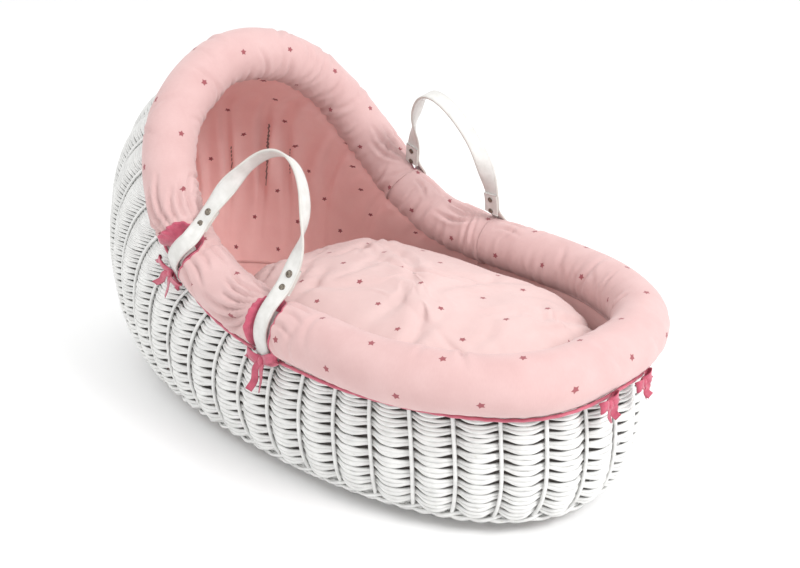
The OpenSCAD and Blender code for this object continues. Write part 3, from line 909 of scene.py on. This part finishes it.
def notch_facing(build, turn):
    """Rose cloth that lines the notch for a strap, from the hem to the crest."""
    middle, low, high = SLITS[turn]
    a = np.radians(np.concatenate([np.linspace(-75, 50, 30), np.linspace(53, 84, 22)]))
    x = np.linspace(-1.03, 1.03, 47)[:, None]
    s = middle + x * np.where(x < 0, low, high) * notch_width(a)[None, :]
    t = rim_turn(s)
    _, o, u = rim_frame(t)
    r = np.zeros(s.shape)
    for stretch in STRETCHES.values():
        for lap in (0.0, rim_length(1.0)):
            at = s + lap
            on = (at >= stretch[0] - 0.0005) & (at <= stretch[1] + 0.0005)
            if on.any():
                r = np.where(on, pad_radius(at, np.broadcast_to(a, s.shape), stretch), r)
    edge = ease((np.abs(x) - 0.96) / 0.06)
    r = r + 0.0009 - 0.0004 * edge
    layers = []
    for inner in (0.0, 0.0014):
        q = r - inner
        layers.append(rim(t) + (q * np.cos(a))[..., None] * o
                      + (q * np.sin(a) - PAD_DROP)[..., None] * u)
    ring = np.concatenate([layers[0], layers[1][:, ::-1]], axis=1)
    build.grid(ring, False, True)
    build.close_ends(ring, -1)


STRETCHES = {}


def make_bumpers():
    front, rear = rim_length(FRONT_TURN), rim_length(REAR_TURN)
    whole = rim_length(1.0)
    half = 0.0
    set_slits()
    hood = Creases(21)
    hs, he = rear, whole - rear
    hood.scatter(26, (hs + 0.02, he - 0.02), (-0.02, 0.05), 0.30, (0.03, 0.075),
                 (0.0022, 0.0042), (0.0012, 0.0030))
    hood.scatter(30, (hs + 0.01, he - 0.01), (0.055, 0.11), 0.22, (0.03, 0.07),
                 (0.0022, 0.0042), (0.0014, 0.0034))
    for edge, way in ((hs, 1), (he, -1)):
        for k in range(7):
            hood.add((edge + way * 0.026, 0.010 * k),
                     (edge + way * (0.072 + 0.010 * (k % 3)), -0.012 + 0.015 * k),
                     0.0025, 0.0042)
    foot = Creases(22)
    fs, fe = -(front - half), front - half
    for edge, way in ((fs, 1), (fe, -1)):
        foot.scatter(6, tuple(sorted((edge + way * 0.01, edge + way * 0.09))), (-0.02, 0.06), 0.2,
                     (0.03, 0.07), (0.0024, 0.0040), (0.0010, 0.0022))
        for k in range(4):
            foot.add((edge + way * 0.018, 0.012 + 0.016 * k),
                     (edge + way * (0.050 + 0.006 * (k % 2)), 0.008 + 0.018 * k),
                     0.0025, 0.0028)
    foot.scatter(22, (fs + 0.05, fe - 0.05), (0.065, 0.115), 0.25, (0.025, 0.06),
                 (0.0022, 0.0040), (0.0012, 0.0030))
    foot.scatter(8, (-0.16, 0.16), (-0.02, 0.05), 0.5, (0.03, 0.06), (0.003, 0.005),
                 (0.0005, 0.0012))
    sides = []
    for seed, sign in ((23, 1), (24, -1)):
        side = Creases(seed)
        a, b = sorted((sign * (front + half), sign * (rear - half)))
        from_end = (front + half) if sign > 0 else -(front + half)
        for k in range(8):
            s0, s1 = from_end + sign * 0.019, from_end + sign * (0.070 + 0.012 * (k % 3))
            side.add((s0, 0.004 + 0.0075 * k), (s1, -0.030 + 0.0150 * k), 0.0024, 0.0052)
        far_end = (rear - half) if sign > 0 else -(rear - half)
        for k in range(5):
            s0, s1 = far_end - sign * 0.019, far_end - sign * (0.052 + 0.008 * (k % 2))
            side.add((s0, 0.004 + 0.014 * k), (s1, -0.012 + 0.020 * k), 0.0024, 0.0036)
        side.scatter(8, (a + 0.015, b - 0.015), (0.06, 0.11), 0.2, (0.03, 0.06),
                     (0.0024, 0.004), (0.0012, 0.0028))
        sides.append((side, a, b, seed))
    STRETCHES["hood_bumper"] = (hs, he, hood, 21, 1.0)
    STRETCHES["foot_bumper"] = (fs, fe, foot, 22, 0.7)
    STRETCHES["near_bumper"] = (sides[0][1], sides[0][2], sides[0][0], 23, 1.2)
    STRETCHES["far_bumper"] = (sides[1][1], sides[1][2], sides[1][0], 24, 1.2)
    for node, stretch in STRETCHES.items():
        bumper(node + "_pad", node, stretch)
    build = Build()
    for turn in SLITS:
        notch_facing(build, turn)
    build.piece("slit_facings", RIBBON, "basket", "trim_ribbon", ["slit_bindings"])


def hem_piping():
    build = Build()
    for a, b, _, seed, _ in STRETCHES.values():
        n = int((b - a) / 0.004)
        s = np.linspace(a + SLIT_W / 2, b - SLIT_W / 2, n)
        sway = 0.0005 * np.sin(TAU * s / HEM_RIPPLE + seed)
        turn = rim_turn(s)
        path = at_rim(turn, HEM_CORD_OUT + sway, np.full(n, HEM_CORD_UP))
        add_tube(build, path, rim_frame(turn)[1], HEM_CORD_R, 8)
    return build.piece("hem_cord", PIPING, "basket", "trim_ribbon", ["hem_piping"])


# ---------- ribbon bows ----------

BOW_SPLAY = 0.15


def ribbon(build, path, wide, width, thick=0.0007):
    half, t = width / 2, thick / 2
    x = np.array([-half, -half * 0.5, 0, half * 0.5, half])
    cup = 0.06 * width * (x / half) ** 2
    section = np.concatenate([np.stack([x, cup + t], -1), np.stack([x[::-1], cup[::-1] - t], -1)])
    rings = sweep(path, wide, section)
    build.grid(rings, False, True)
    build.close_ends(rings)


def curve(control, n):
    """A smooth line through control points."""
    c = np.array(control, float)
    c = np.vstack([2 * c[0] - c[1], c, 2 * c[-1] - c[-2]])
    s = np.linspace(0, len(c) - 3, n)
    i = np.minimum(np.floor(s).astype(int), len(c) - 4)
    f = (s - i)[:, None]
    p = [c[i + k] for k in range(4)]
    return 0.5 * (2 * p[1] + (p[2] - p[0]) * f + (2 * p[0] - 5 * p[1] + 4 * p[2] - p[3]) * f ** 2
                  + (3 * p[1] - p[0] - 3 * p[2] + p[3]) * f ** 3)


def bow(build, turn, seed, loop, tail):
    """A ribbon bow that lies on the weave, in the rim's frame: x along, y out, z up."""
    r = np.random.default_rng(seed)
    al, o, u = rim_frame(turn)
    axes = np.array([-al, o, u])
    root = at_rim(turn, 0.0135, -0.0430)

    def put(control, n, wide, width):
        path = curve(control, n) @ axes + root
        w = np.array(wide, float)
        if w.ndim == 1:
            w = np.tile(w, (n, 1))
        ribbon(build, path, w @ axes, width)

    for side in (-1, 1):
        k = loop * r.uniform(0.9, 1.1)
        rise = r.uniform(-0.3, 0.25) + BOW_SPLAY * side
        z = [0, 0.10 * k, 0.25 * k, 0.15 * k, -0.05 * k, 0]
        control = [(side * x, y, q + rise * x) for x, y, q in zip(
            (0.001, 0.45 * k, 0.88 * k, k, 0.55 * k, 0.001),
            (0.0015, 0.0062, 0.0060, 0.0016, -0.0004, 0.0), z)]
        put(control, 20, (0, 0.35, 1), 0.0112)
        t = tail * r.uniform(0.85, 1.1)
        lean = side * r.uniform(0.18, 0.45)
        down = [(side * 0.001, 0.001, 0), (side * 0.003 + lean * 0.2 * t, 0.0035, -0.28 * t),
                (lean * 0.6 * t, 0.0005, -0.66 * t), (lean * t, 0.0030, -t)]
        twist = np.linspace(0, r.uniform(0.5, 1.0) * side, 16)
        wide = np.stack([np.cos(twist), np.sin(twist), np.full(16, 0.15)], -1)
        put(down, 16, wide, 0.0085)
    knot = circle(10) * np.array([[0.0042, 0.0034]])
    z = np.linspace(-1, 1, 7)
    girth = np.sqrt(np.clip(1 - 0.75 * z ** 2, 0, 1))
    rings = np.stack([np.concatenate([knot * g, np.full((10, 1), 0.0050 * q)], 1)
                      for g, q in zip(girth, z)]) + np.array([0, 0.0025, 0])
    rings = rings @ axes + root
    build.grid(rings, False, True)
    build.cap(rings[0], rings[0].mean(0), True)
    build.cap(rings[-1], rings[-1].mean(0), False)


def bows():
    for node, turn, seed, loop, tail in (("rear_ties", REAR_TURN, 31, 0.024, 0.036),
                                         ("front_ties", FRONT_TURN, 33, 0.024, 0.036),
                                         ("foot_ties", FOOT_TIE_TURN, 35, 0.015, 0.016)):
        build = Build()
        for k, t in enumerate((turn, 1 - turn)):
            bow(build, np.float64(t), seed + k, loop, tail)
        build.piece(node.replace("ties", "bows"), RIBBON, "basket", "trim_ribbon", [node])


# ---------- leather handles ----------

PIVOT_FRONT, PIVOT_REAR = np.array([82, 187, 235]) * MM, np.array([-64, 187, 274]) * MM
ARCH_H = 0.133
STRAP_W, STRAP_T = 0.022, 0.003
HANDLES = {"near": (-1, math.radians(34), 0.020, 1), "far": (1, math.radians(14), 0.036, -1)}


class Handle:
    """The line of one handle's strap, as in the CAD; spin is the way its legs twist."""

    def __init__(self, side, lean, skew, spin):
        self.side, self.skew, self.spin = side, skew, spin
        mirror = np.array([1, side, 1])
        self.a, self.b = PIVOT_REAR * mirror, PIVOT_FRONT * mirror
        self.hinge = unit(self.b - self.a)
        up = np.array([0, 0, 1.0])
        self.above = unit(up - self.hinge[2] * self.hinge)
        self.rise = math.cos(lean) * self.above + math.sin(lean) * np.array([0, -side, 0])
        self.face = np.cross(self.hinge, self.rise)
        self.inner_face = side * self.face

    def point(self, degrees):
        a = np.radians(degrees)[..., None]
        half = np.linalg.norm(self.b - self.a) / 2
        along = half * np.cos(a) + self.skew * np.sin(a) ** 2
        return (self.a + self.b) / 2 - along * self.hinge + ARCH_H * np.sin(a) * self.rise

    def wide(self, degrees):
        a = np.radians(degrees)
        twist = math.pi / 2 * ease((ARCH_H * np.sin(a) - 0.030) / 0.070) * self.spin
        along = unit(self.point(degrees + 0.5) - self.point(degrees - 0.5))
        flat = np.cross(self.face, along)
        return np.cos(twist)[:, None] * flat + np.sin(twist)[:, None] * self.face


def strap_section():
    """Rounded, slightly crowned section of the strap."""
    w, t, r = STRAP_W / 2, STRAP_T / 2, 0.0009
    top = [(-w + r, t * 0.98), (-w * 0.45, t), (0, t), (w * 0.45, t), (w - r, t * 0.98)]
    right = [(w - 0.25 * r, t * 0.62), (w, 0), (w - 0.25 * r, -t * 0.62)]
    under = [(-x, -y) for x, y in top]
    left = [(-x, -y) for x, y in right]
    return np.array(top + right + under + left)[::-1]


SECTION = strap_section()


def add_strap(build, path, wide):
    rings = sweep(path, wide, SECTION)
    along = lengths(path)
    across = np.append(SECTION[:, 0], SECTION[0, 0])
    uv = np.stack(np.broadcast_arrays(along[:, None], across[None, :]), -1)
    build.grid(rings, False, True, uv)
    for end, flip in ((0, False), (-1, True)):
        build.cap(rings[end], path[end], flip)


def strap_line(h):
    """From the hem, up over the bumper's outside, over the arch and down again."""
    def lower(turn):
        al, o, u = rim_frame(turn)
        a = np.radians(np.array([-58, -40, -20, 0, 20, 38, 54]))
        r = np.array([0.0315, 0.0292, 0.0278, 0.0276, 0.0284, 0.0304, 0.0332])
        q = np.stack([r * np.cos(a), r * np.sin(a) - PAD_DROP], -1)
        q = np.vstack([[[0.0015, -0.0465], [0.0120, -0.0405]], q])
        p = rim(turn) + q[:, :1] * o + q[:, 1:] * u
        return p, np.tile(al, (len(p), 1))
    rear_turn = REAR_TURN if h.side < 0 else 1 - REAR_TURN
    front_turn = FRONT_TURN if h.side < 0 else 1 - FRONT_TURN
    arch = np.linspace(5, 175, 50)
    p, w = h.point(arch), h.wide(arch)
    rear_p, rear_w = lower(np.float64(rear_turn))
    front_p, front_w = lower(np.float64(front_turn))
    rear_w = rear_w * np.sign(dot(rear_w[:1], w[:1]))
    front_w = front_w * np.sign(dot(front_w[:1], w[-1:]))
    control = np.vstack([rear_p, p, front_p[::-1]])
    wide = np.vstack([rear_w, w, front_w[::-1]])
    both = np.hstack([control, wide])
    fine = curve(both, 700)
    dist = lengths(fine[:, :3])
    at = np.linspace(0, dist[-1], int(lengths(control)[-1] / 0.003))
    fine = np.stack([np.interp(at, dist, fine[:, k]) for k in range(6)], -1)
    for _ in range(3):
        fine[1:-1] = (fine[:-2] + 2 * fine[1:-1] + fine[2:]) / 4
    return fine[:, :3], fine[:, 3:]


def lathe(build, profile, centre, axis, sides=20):
    """A round piece: profile is (radius, height) from its outer end to its inner end."""
    z = unit(np.array(axis, float))
    x = unit(np.cross(z, [0.3, 0.2, 0.9]))
    y = np.cross(z, x)
    ring = circle(sides)
    rings = np.stack([centre + h * z + r * (ring[:, :1] * x + ring[:, 1:] * y) for r, h in profile])
    build.grid(rings, False, True)
    build.cap(rings[0], rings[0].mean(0), True)
    build.cap(rings[-1], rings[-1].mean(0), False)


RIVET_ANGLES = (4.2, 11.6)


def handle(name):
    h = Handle(*HANDLES[name])
    body = name + "_handle"
    build = Build()
    path, wide = strap_line(h)
    add_strap(build, path, wide)
    strap = build.piece(name + "_strap", LEATHER, None, "strap_leather", [body + "_strap"])
    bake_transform(strap)
    build = Build()
    rivets = Build()
    for end in (0, 180):
        a = np.abs(end - np.linspace(2.5, 15, 16))
        inward = (STRAP_T + 0.0001) * h.inner_face
        add_strap(build, h.point(a) + inward, h.wide(a))
        for angle in RIVET_ANGLES:
            at = h.point(np.array([abs(end - angle)], float))[0]
            outward = -h.inner_face
            head = [(0.0002, 0.0030), (0.0014, 0.0027), (0.0026, 0.0029), (0.0038, 0.0025),
                    (0.0045, 0.0016), (0.0045, 0.0012)]
            inner = [(0.0018, 0.0010), (0.0018, -0.0046), (0.0036, -0.0048), (0.0035, -0.0056),
                     (0.0020, -0.0060), (0.0002, -0.0061)]
            lathe(rivets, head + inner, at, outward)
    build.piece(name + "_strap_ends", LEATHER, body, "strap_leather", [body + "_tabs"])
    rivets.piece(name + "_rivets", METAL, body, "rivet_metal", [body + "_rivets"], weld=False)
    loops = Build()
    for turn in (FRONT_TURN, REAR_TURN):
        turn = np.float64(turn if h.side < 0 else 1 - turn)
        al, o, u = rim_frame(turn)
        a = np.radians(np.arange(-64, 262, 8))
        q = np.stack([-0.002 + 0.0232 * np.cos(a), 0.0215 * np.sin(a) - PAD_DROP], -1)
        line = rim(turn) + q[:, :1] * o + q[:, 1:] * u
        add_strap(loops, line, np.tile(al, (len(line), 1)))
    loops.piece(name + "_slit_straps", LEATHER, "basket", "strap_leather", [name + "_strap_loops"])

# ---------- linings, mattress and coverlet ----------

LINING_DEPTH, LINING_DROP = 0.0186, 0.0205
LINING_THICK, LINING_FOLD = 0.0010, 0.0042
HOOD_LINING_START, HOOD_LINING_Z = 0.232, 0.068


def cloth_shell(build, layer, closed):
    """Both faces of a cloth, from a grid of points on its visible face."""
    along = np.gradient(layer, axis=0)
    if closed:
        along = np.roll(layer, -1, 0) - np.roll(layer, 1, 0)
    normal = unit(np.cross(along, np.gradient(layer, axis=1)))
    ring = np.concatenate([layer, (layer - LINING_THICK * normal)[:, ::-1]], axis=1)
    build.grid(ring, closed, True)
    if not closed:
        build.close_ends(ring)


def lining_layer(turn, low, top, rows, depth):
    """The lining's visible face, gathered under the bumper, with soft upright folds."""
    f = np.linspace(0, 1, rows)[None, :]
    up = low[:, None] + (top - low)[:, None] * f
    t = np.broadcast_to(turn[:, None], up.shape)
    s = rim_length(t)
    z = wall(t, up)[..., 2]
    drop = (1 - up) * 3 * np.linalg.norm(rim(t) - high(t), axis=-1)
    hooded = ease((z - 0.16) / 0.08)
    wander = s + 0.010 * np.sin(z / 0.045) + 0.012 * np.sin(TAU * s / 0.21 + z / 0.08)
    fold = (np.sqrt(np.sin(math.pi * wander / 0.062) ** 2 + 0.06)
            - 0.45 * np.abs(np.sin(math.pi * wander / 0.035 + 1.1)) ** 2)
    middle = rim_length(0.5)
    press = LINING_FOLDS.height(s - middle + 0.25 * (z - 0.2) * np.sign(s - middle), z)
    fold = fold + np.maximum(press, -0.0012) / LINING_FOLD
    fine = np.sin(TAU * s / 0.0185 + 1.5 * np.sin(TAU * s / 0.11)) * np.exp(-drop / 0.045)
    size = LINING_FOLD * (0.25 + hooded * (0.75 + 0.25 * np.sin(TAU * s / 0.33)))
    tucked = ease((drop - 0.024) / 0.020)
    return inside(t, up, depth + (size * (0.55 + fold) + 0.0009 * fine) * tucked + 0.0004)


LINING_FOLDS = Creases(44)
for _at in (-0.33, -0.27, -0.215, -0.15, -0.085, -0.03, 0.035, 0.09, 0.15, 0.20, 0.26, 0.33):
    LINING_FOLDS.add((_at, 0.12), (_at + 0.02 * math.sin(90 * _at), 0.36), 0.0062, 0.0088)


def shade_back_of_cloth(piece, middle=(0.05, 0.0, 0.22)):
    """Gives the faces that look away from the middle the plain dark grey cloth of painted shade,
    which darkens the gaps of the weave.
    """
    piece.data.materials.append(SHADE_BACKING)
    centre = Vector(middle)
    for face in piece.data.polygons:
        if face.normal.dot(face.center - centre) > 0:
            face.material_index = 1


def linings():
    turn = np.linspace(0, 1, 721)[:-1]
    low = np.full(len(turn), 0.10)
    top = np.minimum(below_rim(turn, LINING_DROP), at_height(turn, SIDE_LINE_Z + 0.002))
    layer = lining_layer(turn, low, top, 30, LINING_DEPTH)
    build = Build()
    cloth_shell(build, layer, True)
    side = build.piece("side_lining_cloth", LIGHTENED_LINING_FABRIC, "basket", "lining_fabric",
                       ["side_lining"])
    shade_back_of_cloth(side)
    hood = np.linspace(HOOD_LINING_START, 1 - HOOD_LINING_START, 441)
    top = below_rim(hood, LINING_DROP)
    low = np.minimum(at_height(hood, HOOD_LINING_Z), top - 0.02)
    layer = lining_layer(hood, low, top, 60, LINING_DEPTH + 0.0014)
    build = Build()
    cloth_shell(build, layer, False)
    over = build.piece("hood_lining_cloth", LIGHTENED_LINING_FABRIC, "basket", "lining_fabric",
                       ["hood_lining"])
    shade_back_of_cloth(over)


def disc_grid(n, m, outline, least=0.02):
    """Rings of an outline shrunk to its centre: (n, m, 2) and the share of full size."""
    share = np.linspace(1, least, m)
    edge = outline(np.arange(n) / n)[:, :2]
    centre = edge.mean(0)
    return centre + (edge - centre)[:, None] * share[None, :, None], share


def floor_cloth():
    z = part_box("liner_floor")[0][2]

    def outline(t):
        return bottom(t, -0.004)
    xy, share = disc_grid(120, 14, outline)
    lift = 0.0004 * (1 + np.sin(TAU * 40 * np.arange(120) / 120)[:, None] * share[None])
    top = np.concatenate([xy, (z + 0.0012 + lift)[..., None]], -1)
    under = np.concatenate([xy, np.full(xy.shape[:2] + (1,), z + 0.0002)], -1)
    build = Build()
    build.slab(np.concatenate([under[:, ::-1], top], axis=1))
    piece = build.piece("floor_cloth", LIGHTENED_LINING_FABRIC, "basket", "lining_fabric", ["liner_floor"])
    width = abs(float(np.diff(outline(np.array([0.25, 0.75]))[:, 1])[0]))
    length = abs(float(np.diff(outline(np.array([0.0, 0.5]))[:, 0])[0]))


def foam_slab(outline, z_low, z_high, round_edge, inset):
    """Rings of points round a slab with rounded edges and a slightly crowned top."""
    n = 200
    edge = outline(np.arange(n) / n)[:, :2]
    centre = edge.mean(0)
    way = unit(edge - centre)
    r, slack = round_edge, 0.0015
    rings = []
    for deg in np.linspace(-90, 90, 12):
        c, s = math.cos(math.radians(deg)), math.sin(math.radians(deg))
        bulge = 0.0025 * c
        p = edge - way * (r * (1 - c) + inset - bulge + slack)
        z = z_low + r + r * s if deg < 0 else z_high - r + r * s
        rings.append(np.concatenate([p, np.full((n, 1), z)], 1))
    for share in np.linspace(0.985, 0.02, 26):
        p = centre + (edge - way * (r + inset + slack) - centre) * share
        drop = 0.0022 * share ** 4
        sag = smooth_noise(p[:, 0], p[:, 1], 51, 0.12, 0.0006)
        rings.append(np.concatenate([p, (z_high - drop * 0.3 - np.abs(sag))[:, None]], 1))
    return np.stack(rings, 1)


def mattress():
    lowest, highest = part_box("mattress_foam")

    def foam_outline(t):
        return bottom(t, 0.004 - 0.0018)

    build = Build()
    build.slab(foam_slab(foam_outline, lowest[2] + 0.0002, highest[2] - 0.0008, 0.010, 0.0024))
    foam = build.piece("mattress_core", FOAM, "mattress", "foam", ["mattress_foam"])
    low_s, high_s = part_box("mattress_sheet")
    n = 200
    turn = np.arange(n) / n
    edge = bottom(turn, 0.004)[:, :2]
    centre = edge.mean(0)
    way = unit(edge - centre)
    r = 0.0105
    rows = []
    for z in np.linspace(low_s[2] + 0.0005, high_s[2] - r, 12):
        f = (z - low_s[2]) / (high_s[2] - low_s[2])
        pull = 0.0010 * (1 - f) * (1 + np.sin(TAU * turn * 58 + np.sin(TAU * turn * 9)))
        rows.append(np.concatenate([edge - way * (0.0002 + pull)[:, None], np.full((n, 1), z)], 1))
    for deg in np.linspace(12, 90, 8):
        c, s = math.cos(math.radians(deg)), math.sin(math.radians(deg))
        rows.append(np.concatenate([edge - way * (r * (1 - c) + 0.0002),
                                    np.full((n, 1), high_s[2] - r + r * s)], 1))
    for share in np.linspace(0.98, 0.015, 40):
        p = centre + (edge - way * (r + 0.0002) - centre) * share
        soft = smooth_noise(p[:, 0], p[:, 1], 52, 0.10, 0.00035)
        pull = SHEET_FOLDS.height(p[:, 0], p[:, 1])
        z = high_s[2] - 0.0001 + np.clip(soft + pull, -0.0004, 0.0010)
        rows.append(np.concatenate([p, z[:, None]], 1))
    layer = np.stack(rows, 1)
    build = Build()
    along = np.roll(layer, -1, 0) - np.roll(layer, 1, 0)
    normal = unit(np.cross(along, np.gradient(layer, axis=1)))
    under = layer - 0.0007 * normal
    build.slab(np.concatenate([under[:, ::-1], layer], axis=1))
    piece = build.piece("fitted_sheet", SHEET_COTTON, "mattress", "sheet_cotton",
                        ["mattress_sheet"])


SHEET_FOLDS = Creases(61)
SHEET_FOLDS.scatter(14, (-0.33, -0.10), (-0.14, 0.14), 1.2, (0.04, 0.10), (0.003, 0.005),
                    (0.0003, 0.0007))


def coverlet():
    lowest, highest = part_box("coverlet")
    x0, x1 = lowest[0], highest[0]
    half_w = (highest[1] - lowest[1]) / 2
    z0, z_top, z_edge = lowest[2], highest[2], 0.170
    crown = z_top - z_edge
    n, m = 220, 64
    t = np.arange(n) / n

    def outline(share):
        middle, half = (x0 + x1) / 2, (x1 - x0) / 2
        p = oval(middle + half * share, middle - half * share, half_w * share, t, 0.0, 2.65)
        return p[:, :2]
    folds = Creases(71)
    folds.scatter(15, (-0.06, 0.30), (-0.10, 0.10), 0.9, (0.06, 0.16), (0.006, 0.010),
                  (0.0022, 0.0050))
    folds.scatter(12, (-0.09, 0.02), (-0.11, 0.11), 0.7, (0.04, 0.09), (0.004, 0.007),
                  (0.0016, 0.0034))
    folds.scatter(12, (0.22, 0.34), (-0.11, 0.11), 1.5, (0.04, 0.09), (0.004, 0.007),
                  (0.0016, 0.0034))
    rows = []
    for level, share in ((z0 + 0.0004, 0.90), (z0 + 0.003, 0.945), (z0 + 0.015, 0.98),
                         ((z0 + z_edge) / 2, 1.0), (z_edge - 0.008, 1.0)):
        p = outline(share)
        rows.append(np.concatenate([p, np.full((n, 1), level)], 1))
    shares = np.concatenate([1 - 0.12 * np.linspace(0, 1, 14) ** 2, np.linspace(0.86, 0.004, m)])
    for share in shares:
        a = math.acos(share ** (1 / 0.7))
        p = outline(share)
        z = z_edge + crown * math.sin(a)
        bump = folds.height(p[:, 0], p[:, 1]) + smooth_noise(p[:, 0], p[:, 1], 72, 0.17, 0.0030)
        pucker = 0.0011 * math.cos(a) ** 3 * np.sin(TAU * t * 52 + 1.3 * np.sin(TAU * t * 11))
        way = unit(p - p.mean(0))
        z_share, out_share = math.sin(a) ** 0.5, math.cos(a)
        q = p + way * ((bump * 0.6 + pucker) * out_share)[:, None]
        rows.append(np.concatenate([q, (z + bump * z_share)[:, None]], 1))
    grid = np.stack(rows, 1)
    build = Build()
    build.slab(grid, np.concatenate([grid, grid[:1]])[..., :2])
    piece = build.piece("coverlet_quilt", COVERLET_FABRIC, "coverlet", "coverlet_fabric",
                        ["coverlet"])
    puff(piece, 4.0, 0.010)
    return piece


def puff(piece, pressure, cap, frames=20):
    """Swells a padded piece with Blender's cloth, then moves no point further than the cap."""
    scene = bpy.context.scene
    before = np.empty(len(piece.data.vertices) * 3)
    piece.data.vertices.foreach_get("co", before)
    cloth = piece.modifiers.new("cloth", "CLOTH")
    cloth.settings.use_pressure = True
    cloth.settings.uniform_pressure_force = pressure
    cloth.settings.effector_weights.gravity = 0.0
    cloth.settings.quality = 6
    cloth.settings.mass = 0.25
    cloth.settings.tension_stiffness = cloth.settings.compression_stiffness = 14
    cloth.point_cache.frame_start, cloth.point_cache.frame_end = 1, frames
    scene.frame_start, scene.frame_end = 1, frames
    for number in range(1, frames + 1):
        scene.frame_set(number)
    shape = piece.evaluated_get(bpy.context.evaluated_depsgraph_get()).to_mesh()
    after = np.empty(len(shape.vertices) * 3)
    shape.vertices.foreach_get("co", after)
    piece.modifiers.remove(cloth)
    scene.frame_set(1)
    move = (after - before).reshape(-1, 3)
    far = np.linalg.norm(move, axis=1, keepdims=True)
    move *= np.minimum(1, cap / np.maximum(far, 1e-9))
    piece.data.vertices.foreach_set("co", (before.reshape(-1, 3) + move).ravel())
    piece.data.update()

side_weave()
hood_weave()
uprights()
waling()
foot_ring()
woven_bottom()
rim_border()

make_bumpers()
hem_piping()
bows()
for which in HANDLES:
    handle(which)
linings()
floor_cloth()
mattress()
coverlet()

# ---------- floor and light ----------

def stage_floor():
    size = 6.0
    build = bpy.data.meshes.new("floor")
    build.from_pydata([(-size, -size, 0), (size, -size, 0), (size, size, 0), (-size, size, 0)],
                      [], [(0, 1, 2, 3)])
    floor = bpy.data.objects.new("floor", build)
    floor.location.z = -0.0004
    bpy.context.scene.collection.objects.link(floor)
    paint = Shader("floor_paint", 0.7, Specular_IOR_Level=0.1)
    paint.finish(linear((252, 252, 252)))
    build.materials.append(paint.material)


def area_light(name, place, aim, size, power):
    light = bpy.data.lights.new(name, "AREA")
    light.shape, light.size, light.energy = "DISK", size, power
    lamp = bpy.data.objects.new(name, light)
    lamp.location = place
    lamp.rotation_euler = (Vector(aim) - Vector(place)).to_track_quat("-Z", "Y").to_euler()
    bpy.context.scene.collection.objects.link(lamp)


def studio():
    stage_floor()
    scene = bpy.context.scene
    scene.view_settings.view_transform = "Standard"
    world = bpy.data.worlds.new("studio")
    scene.world = world
    world.use_nodes = True
    sky = world.node_tree.nodes["Background"]
    sky.inputs[0].default_value = (1.0, 1.0, 1.0, 1.0)
    sky.inputs[1].default_value = 1.0
    aim = (0.0, 0.0, 0.2)
    area_light("key", (-0.9, -1.7, 2.3), aim, 1.8, 9.0)
    area_light("fill", (2.1, 0.1, 1.9), (-0.15, 0.0, 0.25), 1.0, 40.0)
    area_light("top", (0.2, 0.9, 2.6), aim, 2.0, 5.0)


studio()
